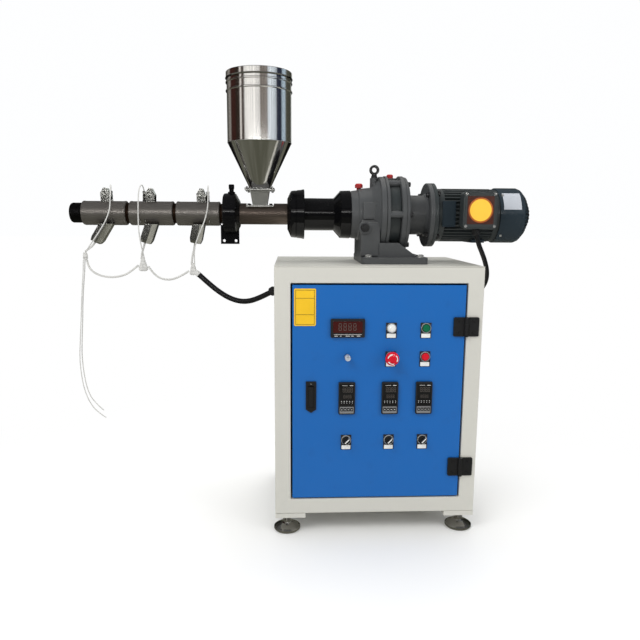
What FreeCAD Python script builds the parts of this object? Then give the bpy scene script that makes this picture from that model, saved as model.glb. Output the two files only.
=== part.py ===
import FreeCAD, Part
import math
import os
from FreeCAD import Rotation, Vector

# A small single-screw plastic extruder on its control cabinet. Sizes are in millimetres.
# It is drawn from the cabinet's front left corner on the floor: +X right, +Y back, +Z up.
# save() then moves everything, so that the origin is under the middle of the machine.

# Cabinet
cabinet_w = 600.0
cabinet_d = 450.0
frame_h = 740.0
tube_side = 46.0
tube_wall = 2.5
sheet = 2.0
panel_inset = 3.0
foot_h = 50.0
corner_plate_side = 90.0
corner_plate_t = 14.0
foot_inset = 35.0
pad_r = 40.0
stud_r = 8.0

# Door and what it carries
door_gap = 5.0
door_depth = 20.0
control_columns = (209.0, 335.0, 435.0)
lamp_row_z = 630.0
stop_row_z = 546.0
controller_row_z = 423.0
selector_row_z = 295.0
controller_w = 48.0
controller_h = 96.0
controller_depth = 80.0
meter_w = 98.0
meter_h = 54.0
meter_depth = 60.0
bezel_t = 8.0
cutout_play = 0.5
hinge_leaf_w = 36.0
hinge_h = 56.0
hinge_leaf_t = 5.0
knuckle_r = 6.5
hinge_pin_r = 3.0
hinge_zs = (633.0, 208.0)
latch_x = 105.0
latch_z = 426.0
latch_w = 30.0
latch_h = 94.0
latch_front = 4.0
latch_handle_w = 15.0
latch_handle_h = 62.0
latch_pivot_y = 0.0
latch_pin_half = 10.5
latch_pin_r = 1.5

# Switches
ring_r = 14.0
ring_t = 6.0
switch_body_r = 11.0
stem_r = 6.0
stem_len = 9.5
press_travel = 4.0
estop_travel = 6.0
estop_r = 20.0
knob_shaft_r = 3.0
knob_bush_r = 5.0
button_cap_r = 10.5
turn_play = 0.05
free_play = 0.5

# Screw line: heights above the cabinet top and places along the machine
axis_above_top = 145.0
axis_y = 200.0
base_x = 255.0
base_len = 198.0
base_depth = 244.0
base_t = 20.0
bell_x = 229.0
bell_len = 85.0
ring1_len = 26.0
drum_len = 34.0
ring2_len = 26.0
gear_r = 117.0
drum_r = 100.0
vent_pad_half = 36.0
vent_pad_top = 109.0
adapter_len = 62.0
adapter_r = 60.0
flange_len = 14.0
flange_r = 97.0
motor_flange_len = 18.0
motor_len = 182.0
motor_r = 81.0
fin_h = 9.0
fin_count = 40
fan_cover_len = 114.0
fan_cover_r = 84.0
pedestal_w = 57.0
pedestal_d = 190.0
rib_t = 14.0
boss_x = 266.0
boss_r = 18.0
boss_drop = 39.0
boss_reach = 8.0
base_hole_r = 7.0
base_hole_inset = (21.0, 14.0)
plug_x = 256.0
plug_r = 7.0
eye_x = 303.0
eye_ring_r = 15.0
eye_hole_r = 7.5
eye_t = 10.0
eye_rise = 24.0
collar_len = 45.0
collar_r = 72.0
thrust_tube_len = 96.0
thrust_tube_r = 49.0
drive_flange_len = 52.0
drive_flange_r = 74.0
feed_len = 145.0
feed_r = 32.0
barrel_flange_len = 49.0
barrel_flange_r = 61.0
lug_x = -168.5
lug_w = 56.0
lug_t = 10.0
lug_drop = 92.0
lug_hole_r = 4.5
lug_hole_inset = 10.0
nipple_x = 24.0
barrel_r = 30.0
bore_r = 15.0
band_len = 130.5
band_gap = 10.0
band_t = 5.5
band_end = 11.0
clamp_xs = (-512.0, -378.0, -225.0)
ear_w = 20.0
ear_h = 28.0
probe_xs = (-497.0, -398.0, -206.0)
probe_h = 30.0
cap_places = ((-527.0, 32.0), (-384.0, 20.0), (-238.0, 12.0))
cap_y = 164.0
cap_drop = 65.0
cap_w = 38.0
cap_d = 38.0
cap_len = 46.0
die_nut_len = 37.0
die_socket_r = 18.0
die_socket_len = 25.0
snug = 0.15

# Terminal box and glands
box_w = 100.0
box_h = 108.0
box_lid_t = 14.0
box_body_t = 38.0
box_pad_y = 112.0
box_x = 546.0
box_z = 965.0

# Hopper
hopper_r = 96.0
hopper_wall = 1.5
hopper_x = -47.0
seat_above_axis = 21.0
throat_flange_t = 5.0
throat_flange_w = 82.0
throat_flange_d = 66.0
feed_mouth = 34.0
throat_h = 44.0
throat_wall = 3.0
throat_top = 58.0
throat_bottom = 44.0
plate_side = 88.0
plate_t = 3.5
cone_bottom_r = 32.0
cone_h = 133.0
cylinder_h = 196.0
lid_rim = 20.0
lid_top_t = 5.0
bead_r = 3.0

# Worked out from the above
frame_z = foot_h + corner_plate_t
top_z = frame_z + frame_h + sheet
axis_z = top_z + axis_above_top
ring1_x = bell_x + bell_len
drum_x = ring1_x + ring1_len
ring2_x = drum_x + drum_len
adapter_x = ring2_x + ring2_len
flange_x = adapter_x + adapter_len
motor_flange_x = flange_x + flange_len
motor_x = motor_flange_x + motor_flange_len
fan_x = motor_x + motor_len
end_x = fan_x + fan_cover_len
collar_x = bell_x - collar_len
thrust_x = collar_x - thrust_tube_len
drive_flange_x = thrust_x - drive_flange_len
feed_x = drive_flange_x - feed_len
barrel_flange_x = feed_x - barrel_flange_len
band_xs = [barrel_flange_x - band_end - band_len * (i + 1) - band_gap * i for i in range(3)]
die_x = band_xs[2]
tip_x = die_x - die_nut_len
base_y = axis_y - base_depth / 2
seat_z = axis_z + seat_above_axis
throat_z = seat_z + throat_flange_t
plates_z = throat_z + throat_h
cone_z = plates_z + 2 * plate_t
cylinder_z = cone_z + cone_h
rim_z = cylinder_z + cylinder_h
door_x = tube_side + door_gap
door_w = cabinet_w - 2 * door_x
door_z = frame_z + tube_side + door_gap
door_h = frame_h - 2 * (tube_side + door_gap)
hinge_x = door_x + door_w + door_gap / 2
estop_reach = 40.0
controller_neck = (controller_w - 4.0, controller_h - 5.0)
meter_neck = (meter_w - 5.0, meter_h - 5.0)
latch_neck = (latch_w - 6.0, latch_h - 16.0)
latch_handle_z = latch_z + 2.0
latch_pivot_z = latch_handle_z + latch_handle_h / 2 - 5.0
boss_z = axis_z - boss_drop
pedestal_y = axis_y - pedestal_d / 2
lug_hole_xs = (lug_x + lug_hole_inset, lug_x + lug_w - lug_hole_inset)
lug_hole_z = axis_z - lug_drop + lug_hole_inset
cap_z = axis_z - cap_drop
front_y = -estop_reach
back_y = cabinet_d - foot_inset + pad_r
shift = Vector(-(tip_x + end_x) / 2, -(front_y + back_y) / 2, 0)

X = Vector(1, 0, 0)
Y = Vector(0, 1, 0)
Z = Vector(0, 0, 1)
AXIS = Vector(0, axis_y, axis_z)


def box(x0, x1, y0, y1, z0, z1):
    return Part.makeBox(x1 - x0, y1 - y0, z1 - z0, Vector(x0, y0, z0))


def rod(start, direction, radius, length):
    return Part.makeCylinder(radius, length, Vector(start), Vector(direction))


def turned(profile, origin, direction=X):
    """A solid turned about the line through origin; profile holds its (station, radius) corners."""
    corners = [Vector(radius, 0, station) for station, radius in profile]
    solid = Part.Face(Part.makePolygon(corners + corners[:1])).revolve(Vector(0, 0, 0), Z, 360)
    solid.Placement = FreeCAD.Placement(Vector(origin), Rotation(Z, direction))
    return solid


def slab(corners, y0, y1):
    """A plate with the given (x, z) corners, from y0 back to y1."""
    points = [Vector(x, y0, z) for x, z in corners]
    return Part.Face(Part.makePolygon(points + points[:1])).extrude(Vector(0, y1 - y0, 0))


def hexagon(start, direction, across, length):
    nut = Part.makePolygon([Vector(across / math.sqrt(3) * math.cos(math.radians(60 * i)),
                                   across / math.sqrt(3) * math.sin(math.radians(60 * i)), 0)
                            for i in range(7)])
    solid = Part.Face(nut).extrude(Vector(0, 0, length))
    solid.Placement = FreeCAD.Placement(Vector(start), Rotation(Z, Vector(direction)))
    return solid


def rounded(shape, radius, along):
    """Rounds the straight edges that run along one axis."""
    edges = [edge for edge in shape.Edges
             if isinstance(edge.Curve, Part.Line) and abs(abs(edge.Curve.Direction.dot(along)) - 1) < 1e-6]
    return shape.makeFillet(radius, edges)


def fused(first, *others):
    return first.fuse(list(others)).removeSplitter()


def square_tube(x0, x1, y0, y1, z0, z1, along):
    """A square tube that fills the box, open at both ends of one axis."""
    low, high = [x0, y0, z0], [x1, y1, z1]
    for i, direction in enumerate((X, Y, Z)):
        if direction != along:
            low[i] += tube_wall
            high[i] -= tube_wall
    return box(x0, x1, y0, y1, z0, z1).cut(box(low[0], high[0], low[1], high[1], low[2], high[2]))


parts = {}


def save(name, *solids):
    """Writes one node, moved to the part's own origin."""
    shape = solids[0].copy() if len(solids) == 1 else Part.makeCompound([solid.copy() for solid in solids])
    shape.translate(shift)
    if not shape.isValid():
        print("not valid:", name)
    shape.exportStep(os.path.join("parts", name + ".step"))
    parts[name] = shape


# ---------------------------------------------------------------- cabinet

def corner_places():
    return [(x, y) for x in (0.0, cabinet_w) for y in (0.0, cabinet_d)]


def inward(place, full):
    """+1 at the low side of the cabinet and -1 at the high side."""
    return 1 if place < full / 2 else -1


def frame_posts():
    posts = []
    for x, y in corner_places():
        xs = sorted((x, x + inward(x, cabinet_w) * tube_side))
        ys = sorted((y, y + inward(y, cabinet_d) * tube_side))
        posts.append(square_tube(*xs, *ys, frame_z, frame_z + frame_h, Z))
    return posts


def frame_rails():
    rails = []
    for z in (frame_z, frame_z + frame_h - tube_side):
        for y in (0.0, cabinet_d - tube_side):
            rails.append(square_tube(tube_side, cabinet_w - tube_side, y, y + tube_side, z, z + tube_side, X))
        for x in (0.0, cabinet_w - tube_side):
            rails.append(square_tube(x, x + tube_side, tube_side, cabinet_d - tube_side, z, z + tube_side, Y))
    return rails


def cabinet_panels():
    """Sheets between the tubes: both sides, back and bottom."""
    low, high = frame_z + tube_side, frame_z + frame_h - tube_side
    panels = [box(x, x + sheet, tube_side, cabinet_d - tube_side, low, high)
              for x in (panel_inset, cabinet_w - panel_inset - sheet)]
    y = cabinet_d - panel_inset - sheet
    panels.append(box(tube_side, cabinet_w - tube_side, y, y + sheet, low, high))
    panels.append(box(tube_side, cabinet_w - tube_side, tube_side, cabinet_d - tube_side, low - sheet, low))
    return panels


def corner_plates():
    plates = []
    cut = 24.0
    for x, y in corner_places():
        sx, sy = inward(x, cabinet_w), inward(y, cabinet_d)
        side = corner_plate_side
        outline = [(0, 0), (side, 0), (side, side - cut), (side - cut, side), (0, side)]
        points = [Vector(x + sx * a, y + sy * b, foot_h) for a, b in outline]
        plate = Part.Face(Part.makePolygon(points + points[:1])).extrude(Vector(0, 0, corner_plate_t))
        hole = rod((x + sx * foot_inset, y + sy * foot_inset, foot_h - 1), Z, stud_r + snug, corner_plate_t + 2)
        plates.append(plate.cut(hole))
    return plates


def levelling_feet():
    nut_t = 12.0
    above_plate = 22.0
    profile = [(0, 0), (0, pad_r - 3), (3, pad_r), (8, pad_r), (12, pad_r - 6), (20, 16), (24, 13), (30, 13),
               (30, stud_r), (frame_z + above_plate, stud_r), (frame_z + above_plate, 0)]
    feet = []
    for x, y in corner_places():
        centre = (x + inward(x, cabinet_w) * foot_inset, y + inward(y, cabinet_d) * foot_inset, 0)
        foot = turned(profile, centre, Z)
        nut = hexagon((centre[0], centre[1], foot_h - nut_t), Z, 24.0, nut_t)
        feet.append(foot.fuse(nut))
    return feet


# ---------------------------------------------------------------- door

def switch_places():
    """Name, x and z of every control that sits in a round hole."""
    left, middle, right = control_columns
    places = [("power_lamp", middle, lamp_row_z), ("start_button", right, lamp_row_z),
              ("estop_button", middle, stop_row_z), ("stop_button", right, stop_row_z)]
    return places + [("selector_knob_%d" % (i + 1), x, selector_row_z) for i, x in enumerate(control_columns)]


def framed(x, z, w, h, y0, y1, grow=0.0):
    return box(x - w / 2 - grow, x + w / 2 + grow, y0, y1, z - h / 2 - grow, z + h / 2 + grow)


def door():
    outer = box(door_x, door_x + door_w, 0, door_depth, door_z, door_z + door_h)
    inner = box(door_x + sheet, door_x + door_w - sheet, sheet, door_depth + 1, door_z + sheet,
                door_z + door_h - sheet)
    panel = rounded(outer, 2.5, Z).cut(inner)
    cuts = [framed(x, controller_row_z, *controller_neck, -1, sheet + 1, cutout_play) for x in control_columns]
    cuts.append(framed(control_columns[0], lamp_row_z, *meter_neck, -1, sheet + 1, cutout_play))
    cuts.append(framed(latch_x, latch_z, *latch_neck, -1, sheet + 1, cutout_play))
    for name, x, z in switch_places():
        cuts.append(rod((x, -1, z), Y, switch_body_r + cutout_play, sheet + 2))
    cuts.append(rod((control_columns[0], -1, stop_row_z), Y, knob_bush_r + cutout_play, sheet + 2))
    return panel.cut(cuts)


def hinge_leaf(z, side):
    """One leaf with its knuckles: side -1 lies on the door, +1 on the frame and carries the pin."""
    knuckle_y = -knuckle_r
    third = hinge_h / 3
    leaf_gap = 1.0
    slit = 0.4
    low, high = z - hinge_h / 2, z + hinge_h / 2
    edge = hinge_x + side * leaf_gap
    leaf = box(*sorted((edge, hinge_x + side * (hinge_leaf_w + leaf_gap))), -hinge_leaf_t, 0, low, high)
    corners = [edge_ for edge_ in leaf.Edges if edge_.Length < hinge_leaf_t + 0.1
               and abs(edge_.CenterOfMass.x - hinge_x) > hinge_leaf_w / 2]
    leaf = leaf.makeFillet(4.0, corners)
    middle = rod((hinge_x, knuckle_y, low + third), Z, knuckle_r, third)
    if side < 0:
        clear = [rod((hinge_x, knuckle_y, low - 1), Z, knuckle_r + free_play, third + slit + 1),
                 rod((hinge_x, knuckle_y, high - third - slit), Z, knuckle_r + free_play, third + slit + 1)]
        leaf = leaf.cut(clear)
        middle = rod((hinge_x, knuckle_y, low + third + slit), Z, knuckle_r, third - 2 * slit)
        return fused(leaf, middle).cut(rod((hinge_x, knuckle_y, low), Z, hinge_pin_r + turn_play, hinge_h))
    leaf = leaf.cut(rod((hinge_x, knuckle_y, low + third), Z, knuckle_r + free_play, third))
    ends = [rod((hinge_x, knuckle_y, base), Z, knuckle_r, third) for base in (low, high - third)]
    return fused(leaf, *ends, rod((hinge_x, knuckle_y, low), Z, hinge_pin_r, hinge_h))


def latch_dish():
    """Lock plate with a pointed lower end, a dish for the handle and a cam that stands open."""
    half_w, half_h = latch_w / 2, latch_h / 2
    point = 10.0
    outline = [(latch_x - half_w, latch_z + half_h), (latch_x + half_w, latch_z + half_h),
               (latch_x + half_w, latch_z - half_h + point), (latch_x, latch_z - half_h),
               (latch_x - half_w, latch_z - half_h + point)]
    plate = slab(outline, -latch_front, 0)
    body = framed(latch_x, latch_z, *latch_neck, 0, 14)
    cam = box(latch_x - 8, latch_x + 8, 17, 20, latch_z - 30, latch_z + 10)
    dish = framed(latch_x, latch_handle_z, latch_handle_w, latch_handle_h, -latch_front - 1, 8, 1.2)
    pivot = (latch_x - latch_w, latch_pivot_y, latch_pivot_z)
    solid = fused(plate, body, rod((latch_x, 14, latch_z), Y, 5, 3), cam).cut(dish)
    return solid.cut(rod((latch_x - latch_pin_half - 0.3, *pivot[1:]), X, latch_pin_r + turn_play,
                         2 * latch_pin_half + 0.6))


def latch_handle():
    back = latch_pivot_y + 3.5
    plate = framed(latch_x, latch_handle_z, latch_handle_w, latch_handle_h, -latch_front, back)
    top = latch_handle_z + latch_handle_h / 2
    relief = box(latch_x - latch_handle_w, latch_x + latch_handle_w, latch_pivot_y, back + 1,
                 latch_pivot_z, top + 1)
    heel = rod((latch_x - latch_handle_w / 2, latch_pivot_y, latch_pivot_z), X, 3.5, latch_handle_w)
    pin = rod((latch_x - latch_pin_half, latch_pivot_y, latch_pivot_z), X, latch_pin_r, 2 * latch_pin_half)
    front_cut = box(latch_x - latch_handle_w, latch_x + latch_handle_w, -latch_front - 1, back + 1,
                    latch_pivot_z + 3.5, top + 1)
    return fused(plate.cut(relief).cut(front_cut), heel, pin)


def panel_instrument(x, z, w, h, neck, depth):
    bezel = rounded(framed(x, z, w, h, -bezel_t, 0), 3.0, Y)
    return fused(bezel, framed(x, z, *neck, 0, depth))


def switch_collar(x, z, plated):
    """Ring in front of the door, threaded body through it and contact block behind it."""
    ring = turned([(-ring_t, 0), (-ring_t, ring_r - 1.5), (-ring_t + 1.5, ring_r), (0, ring_r), (0, 0)], (x, 0, z), Y)
    body = rod((x, 0, z), Y, switch_body_r, 14)
    block = box(x - 15, x + 15, 14, 52, z - 20, z + 20)
    pieces = [ring, body, block]
    if plated:
        pieces.append(box(x - 15.5, x + 15.5, -1.5, 0, z - 30, z + 15))
    return fused(*pieces)


def bored_collar(x, z, plated=True):
    return switch_collar(x, z, plated).cut(
        [rod((x, -ring_t - 1, z), Y, stem_r + turn_play, ring_t + stem_len + press_travel + 2)])


def button_collar(x, z):
    well = rod((x, -ring_t - 1, z), Y, button_cap_r + 1.0, ring_t)
    return bored_collar(x, z).cut([well])


def switch_collars():
    collars = []
    for name, x, z in switch_places():
        collars.append(button_collar(x, z) if name in ("start_button", "stop_button") else bored_collar(x, z))
    x, z = control_columns[0], stop_row_z
    bush = fused(rod((x, -3, z), Y, 8, 3), rod((x, 0, z), Y, knob_bush_r, 12), rod((x, 12, z), Y, 12, 20))
    collars.append(bush.cut([rod((x, -4, z), Y, knob_shaft_r + turn_play, 16)]))
    return collars


def press_button(x, z, head):
    """A turned cap with its stem; head holds the cap's (station, radius) corners from the front."""
    back = head[-1][0]
    return turned(head + [(back, stem_r), (stem_len - ring_t, stem_r), (stem_len - ring_t, 0)], (x, 0, z), Y)


def flat_button(x, z):
    return press_button(x, z, [(-10, 0), (-10, button_cap_r - 1.5), (-8.5, button_cap_r), (-5.5, button_cap_r)])


def lamp(x, z):
    lens = [(-16, 0), (-15.5, 5), (-14, 8.5), (-11, 11.2), (-ring_t, 12)]
    return press_button(x, z, lens)


def estop(x, z):
    head = [(-estop_reach, 0), (-estop_reach + 0.8, 9), (-estop_reach + 3.5, 16), (-estop_reach + 7, 19.3),
            (-estop_reach + 10, estop_r), (-estop_reach + 16, 19), (-20, 13), (-ring_t - estop_travel - 1, 12)]
    return press_button(x, z, head)


def selector_knob(x, z):
    """Round skirt with a grip bar across it that points up and to the right."""
    skirt = turned([(-9.5, 0), (-9.5, 11), (-ring_t - free_play, 12), (-ring_t - free_play, stem_r),
                    (stem_len - ring_t, stem_r), (stem_len - ring_t, 0)], (x, 0, z), Y)
    grip = rounded(box(x - 11, x + 11, -21, -9, z - 3.6, z + 3.6), 1.4, Y)
    grip.rotate(Vector(x, 0, z), Y, -45)
    return fused(skirt, grip)


def speed_knob(x, z):
    return turned([(-27, 0), (-27, 7), (-26, 8), (-6, 8), (-5, 7.5), (-5, knob_shaft_r), (9, knob_shaft_r), (9, 0)],
                  (x, 0, z), Y)


# ---------------------------------------------------------------- drive

def gearbox_housing():
    """Output bell, front ring and the pedestal with its ribs and foot, one casting."""
    lip = 2.0
    bell = turned([(bell_x, 0), (bell_x, 70), (bell_x + 5, 72), (bell_x + 20, 74), (bell_x + 24, 78),
                   (bell_x + 62, 82), (bell_x + 74, 92), (ring1_x, gear_r - 12), (ring1_x, gear_r - 2 * lip),
                   (ring1_x + 2, gear_r - lip), (ring1_x + 15, gear_r - lip), (ring1_x + 15, gear_r - 2 * lip),
                   (ring1_x + 17, gear_r - 2 * lip), (ring1_x + 17, gear_r), (drum_x - 2, gear_r),
                   (drum_x, gear_r - 2), (drum_x, 0)], AXIS)
    foot = rounded(box(base_x, base_x + base_len, base_y, base_y + base_depth, top_z, top_z + base_t), 10.0, Z)
    pedestal = rounded(box(base_x, base_x + pedestal_w, pedestal_y, pedestal_y + pedestal_d,
                           top_z + base_t, axis_z - 22), 8.0, X)
    rib_top = top_z + base_t + 42
    rib_x = base_x + pedestal_w
    outline = [(rib_x - 1, top_z + base_t), (base_x + base_len - 22, top_z + base_t),
               (rib_x + 56, rib_top), (rib_x - 1, rib_top)]
    ribs = [slab(outline, y, y + rib_t) for y in (pedestal_y, pedestal_y + pedestal_d - rib_t)]
    boss = rod((boss_x, pedestal_y - boss_reach, boss_z), Y, boss_r, 30)
    eye_boss = rod((eye_x, axis_y, axis_z + 70), Z, 13, gear_r - 6 - 70)
    casting = fused(bell, foot, pedestal, *ribs, boss, eye_boss)
    bolts = [rod((x, y, top_z - 1), Z, base_hole_r, base_t + 2) for x, y in base_bolt_places()]
    plug_hole = rod((plug_x, axis_y, axis_z + 70), Z, plug_r, 60)
    return casting.cut(bolts + [plug_hole])


def base_bolt_places():
    inset_x, inset_y = base_hole_inset
    return [(x, y) for x in (base_x + inset_x, base_x + base_len - inset_x)
            for y in (base_y + inset_y, base_y + base_depth - inset_y)]


def pinwheel_ring():
    """The middle ring with the pad on top that carries the vent plug."""
    pad = box(drum_x, ring2_x, axis_y - vent_pad_half, axis_y + vent_pad_half, axis_z + drum_r / 2,
              axis_z + vent_pad_top)
    return fused(rod((drum_x, axis_y, axis_z), X, drum_r, drum_len), pad)


def input_cover():
    """Rear ring, neck and the flange that carries the motor, one casting."""
    return turned([(ring2_x, 0), (ring2_x, gear_r - 2), (ring2_x + 2, gear_r), (ring2_x + 13, gear_r),
                   (ring2_x + 13, gear_r - 6), (ring2_x + 16, gear_r - 6), (ring2_x + 16, gear_r - 3),
                   (adapter_x - 3, gear_r - 6), (adapter_x, gear_r - 12), (adapter_x, adapter_r + 8),
                   (adapter_x + 8, adapter_r), (flange_x - 6, adapter_r), (flange_x, adapter_r + 6),
                   (flange_x, flange_r - 2), (flange_x + 2, flange_r), (motor_flange_x - 1, flange_r),
                   (motor_flange_x, flange_r - 1), (motor_flange_x, 0)], AXIS)


def fin_section(x):
    """The motor's section: straight cooling fins all round."""
    points = []
    root = motor_r - fin_h
    for i in range(fin_count):
        middle = 2 * math.pi * (i + 0.5) / fin_count
        root_half = math.pi / fin_count * 0.56
        tip_half = math.pi / fin_count * 0.30
        for angle, radius in ((middle - root_half, root), (middle - tip_half, motor_r),
                              (middle + tip_half, motor_r), (middle + root_half, root)):
            points.append(Vector(x, axis_y + radius * math.cos(angle), axis_z + radius * math.sin(angle)))
    return Part.Face(Part.makePolygon(points + points[:1]))


def motor_frame():
    """Motor flange, end shields and finned frame with a flat pad for the terminal box."""
    shield = 16.0
    flange = turned([(motor_flange_x, 0), (motor_flange_x, flange_r - 1), (motor_flange_x + 1, flange_r),
                     (motor_flange_x + 10, flange_r), (motor_flange_x + 12, flange_r - 4),
                     (motor_x - 3, motor_r + 4), (motor_x, motor_r), (motor_x + shield, motor_r - 1),
                     (motor_x + shield, 0)], AXIS)
    fins = fin_section(motor_x + shield).extrude(Vector(motor_len - 2 * shield, 0, 0))
    rear = rod((fan_x - shield, axis_y, axis_z), X, motor_r - 1, shield)
    pad = box(box_x + 14, box_x + box_w - 14, box_pad_y, axis_y, box_z - 42, box_z + 42)
    return fused(flange, fins, rear, pad)


def fan_cover():
    """Closed cowl over the fan, with a domed end."""
    rim = fan_x + 66
    return turned([(fan_x, 0), (fan_x, fan_cover_r - 1), (fan_x + 1, fan_cover_r), (rim, fan_cover_r),
                   (rim + 10, fan_cover_r - 4), (rim + 24, fan_cover_r - 20), (rim + 38, fan_cover_r - 46),
                   (rim + 44, fan_cover_r - 62), (end_x, fan_cover_r - 72), (end_x, 0)], AXIS)


def terminal_box():
    y0 = box_pad_y - box_body_t
    body = rounded(box(box_x + 3, box_x + box_w - 3, y0, box_pad_y, box_z - box_h / 2 + 3, box_z + box_h / 2 - 3),
                   8.0, Y)
    lid = rounded(box(box_x, box_x + box_w, y0 - box_lid_t, y0, box_z - box_h / 2, box_z + box_h / 2), 10.0, Y)
    return fused(body, lid)


def lifting_eye():
    """Ring bolt in the housing's top boss; the ring faces front and back."""
    z = axis_z + gear_r - 6
    ring_z = z + eye_rise
    ring = rod((eye_x, axis_y - eye_t / 2, ring_z), Y, eye_ring_r, eye_t)
    collar = turned([(0, 0), (0, 10), (3, 10), (8, 8), (11, 8), (11, 0)], (eye_x, axis_y, z), Z)
    return fused(ring, collar).cut(rod((eye_x, axis_y - eye_t, ring_z), Y, eye_hole_r, 2 * eye_t))


def oil_plugs():
    """Two filler plugs on top and the level plug in the side boss."""
    bell_top = axis_z + 77
    filler = fused(rod((plug_x, axis_y, axis_z + 72), Z, plug_r - snug, 16),
                   turned([(0, 0), (0, 12), (9, 12), (13, 8), (13, 0)], (plug_x, axis_y, bell_top + 4), Z))
    vent = turned([(0, 0), (0, 10), (10, 10), (13, 7), (13, 0)], (drum_x + 11, axis_y, axis_z + vent_pad_top), Z)
    level = hexagon((boss_x, pedestal_y - boss_reach - 6, boss_z), Y, 16.0, 6)
    return [filler, vent, level]


# ---------------------------------------------------------------- screw line

def thrust_housing():
    """Black bearing tube with the collar that bolts to the gearbox."""
    return turned([(thrust_x, bore_r + snug), (thrust_x, thrust_tube_r), (collar_x - 6, thrust_tube_r),
                   (collar_x + 12, collar_r - 3), (collar_x + 14, collar_r), (bell_x - 2, collar_r + 1),
                   (bell_x, collar_r - 1), (bell_x, bore_r + snug)], AXIS)


def drive_flange():
    x = drive_flange_x
    body = turned([(x, bore_r + snug), (x, feed_r + 6), (x + 3, feed_r + 16), (x + 9, drive_flange_r - 16),
                   (x + 18, drive_flange_r - 3), (x + 30, drive_flange_r), (thrust_x - 12, drive_flange_r + 1),
                   (thrust_x - 12, drive_flange_r - 2), (thrust_x - 9, drive_flange_r - 2),
                   (thrust_x - 9, drive_flange_r + 1), (thrust_x, drive_flange_r + 1),
                   (thrust_x, bore_r + snug)], AXIS)
    return body


def feed_section():
    """Feed tube with a milled seat for the hopper throat and the hole down to the screw."""
    tube = turned([(feed_x, bore_r + snug), (feed_x, feed_r), (drive_flange_x, feed_r),
                   (drive_flange_x, bore_r + snug)], AXIS)
    half = throat_flange_w / 2 + 1.0
    seat = box(hopper_x - half, hopper_x + half, axis_y - feed_r, axis_y + feed_r, seat_z, axis_z + feed_r + 1)
    mouth = box(hopper_x - feed_mouth / 2, hopper_x + feed_mouth / 2, axis_y - bore_r + 2, axis_y + bore_r - 2,
                axis_z, seat_z + 1)
    return tube.cut([seat, mouth])


def barrel_flange():
    """Flange at the barrel's root with the lug that a barrel support bolts to."""
    x = barrel_flange_x
    r = barrel_flange_r
    body = turned([(x, 0), (x, r - 11), (x + 6, r - 2), (x + 12, r), (x + 30, r), (x + 38, r - 4),
                   (feed_x - 3, r - 13), (feed_x, feed_r + 4), (feed_x, 0)], AXIS)
    lug = rounded(box(lug_x, lug_x + lug_w, axis_y - lug_t / 2, axis_y + lug_t / 2, axis_z - lug_drop,
                      axis_z - barrel_r - 4), 3.0, Y)
    bored = fused(body, lug).cut([rod((lug_x - 5, axis_y, axis_z), X, barrel_r + snug, lug_w + 60)])
    holes = [rod((hole_x, axis_y - lug_t, lug_hole_z), Y, lug_hole_r, 2 * lug_t) for hole_x in lug_hole_xs]
    return bored.cut(holes)


def hose_nipple():
    """Cooling-water nipple screwed into the top of the barrel flange."""
    x = barrel_flange_x + nipple_x
    return turned([(0, 0), (0, 11), (4, 11), (6, 7), (12, 7), (14, 8.5), (25, 8.5), (27, 7), (27, 0)],
                  (x, axis_y, axis_z + barrel_flange_r), Z)


def barrel():
    return turned([(die_x, bore_r + snug), (die_x, barrel_r), (feed_x, barrel_r), (feed_x, bore_r + snug)], AXIS)


def screw():
    """The extruder screw at its flight diameter, with a pointed tip."""
    tip = die_x + 2
    return turned([(tip, 0), (tip + 26, bore_r), (bell_x, bore_r), (bell_x, 0)], AXIS)


def die_nut():
    """Black threaded end that takes the die."""
    return turned([(tip_x, die_socket_r), (tip_x, barrel_r - 5), (tip_x + 2, barrel_r - 2), (tip_x + 6, barrel_r),
                   (die_x, barrel_r), (die_x, bore_r + snug), (tip_x + die_socket_len, bore_r + snug),
                   (tip_x + die_socket_len, die_socket_r)], AXIS)


def heater_bands():
    r = barrel_r + band_t
    bands = []
    for x in band_xs:
        bands.append(turned([(x, barrel_r + snug), (x, r - 1), (x + 1, r), (x + band_len - 1, r),
                             (x + band_len, r - 1), (x + band_len, barrel_r + snug)], AXIS))
    return bands


def band_clamps():
    """Folded ears on top of each band with the bolt that draws it tight."""
    r = barrel_r + band_t
    low, bolt_z = axis_z + r - 3, axis_z + r + 19
    clamps = []
    for x in clamp_xs:
        x0, x1 = x - ear_w / 2, x + ear_w / 2
        ears = [box(x0, x1, axis_y + y, axis_y + y + 3, low, axis_z + r + ear_h) for y in (-9, 6)]
        bridge = box(x0, x1, axis_y - 9, axis_y + 9, low, axis_z + r + 3)
        bolt = rod((x, axis_y - 17, bolt_z), Y, 3, 32)
        head = hexagon((x, axis_y - 14, bolt_z), Y, 10, 5)
        nut = hexagon((x, axis_y + 9, bolt_z), Y, 10, 5)
        band = rod((x - ear_w, axis_y, axis_z), X, r + snug, 2 * ear_w)
        clamps.append(fused(*ears, bridge, bolt, head, nut).cut([band]))
    return clamps


def temperature_probes():
    """Spring-loaded probes that stand in the bands; their leads leave the top."""
    r = barrel_r + band_t
    probes = []
    for x in probe_xs:
        probes.append(turned([(r + snug, 0), (r + snug, 4), (r + 6, 4), (r + 6, 3), (r + 10, 3), (r + 10, 4),
                              (r + 24, 4), (r + 24, 4.6), (r + probe_h, 4.6), (r + probe_h, 0)],
                             (x, axis_y, axis_z), Z))
    return probes


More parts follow.
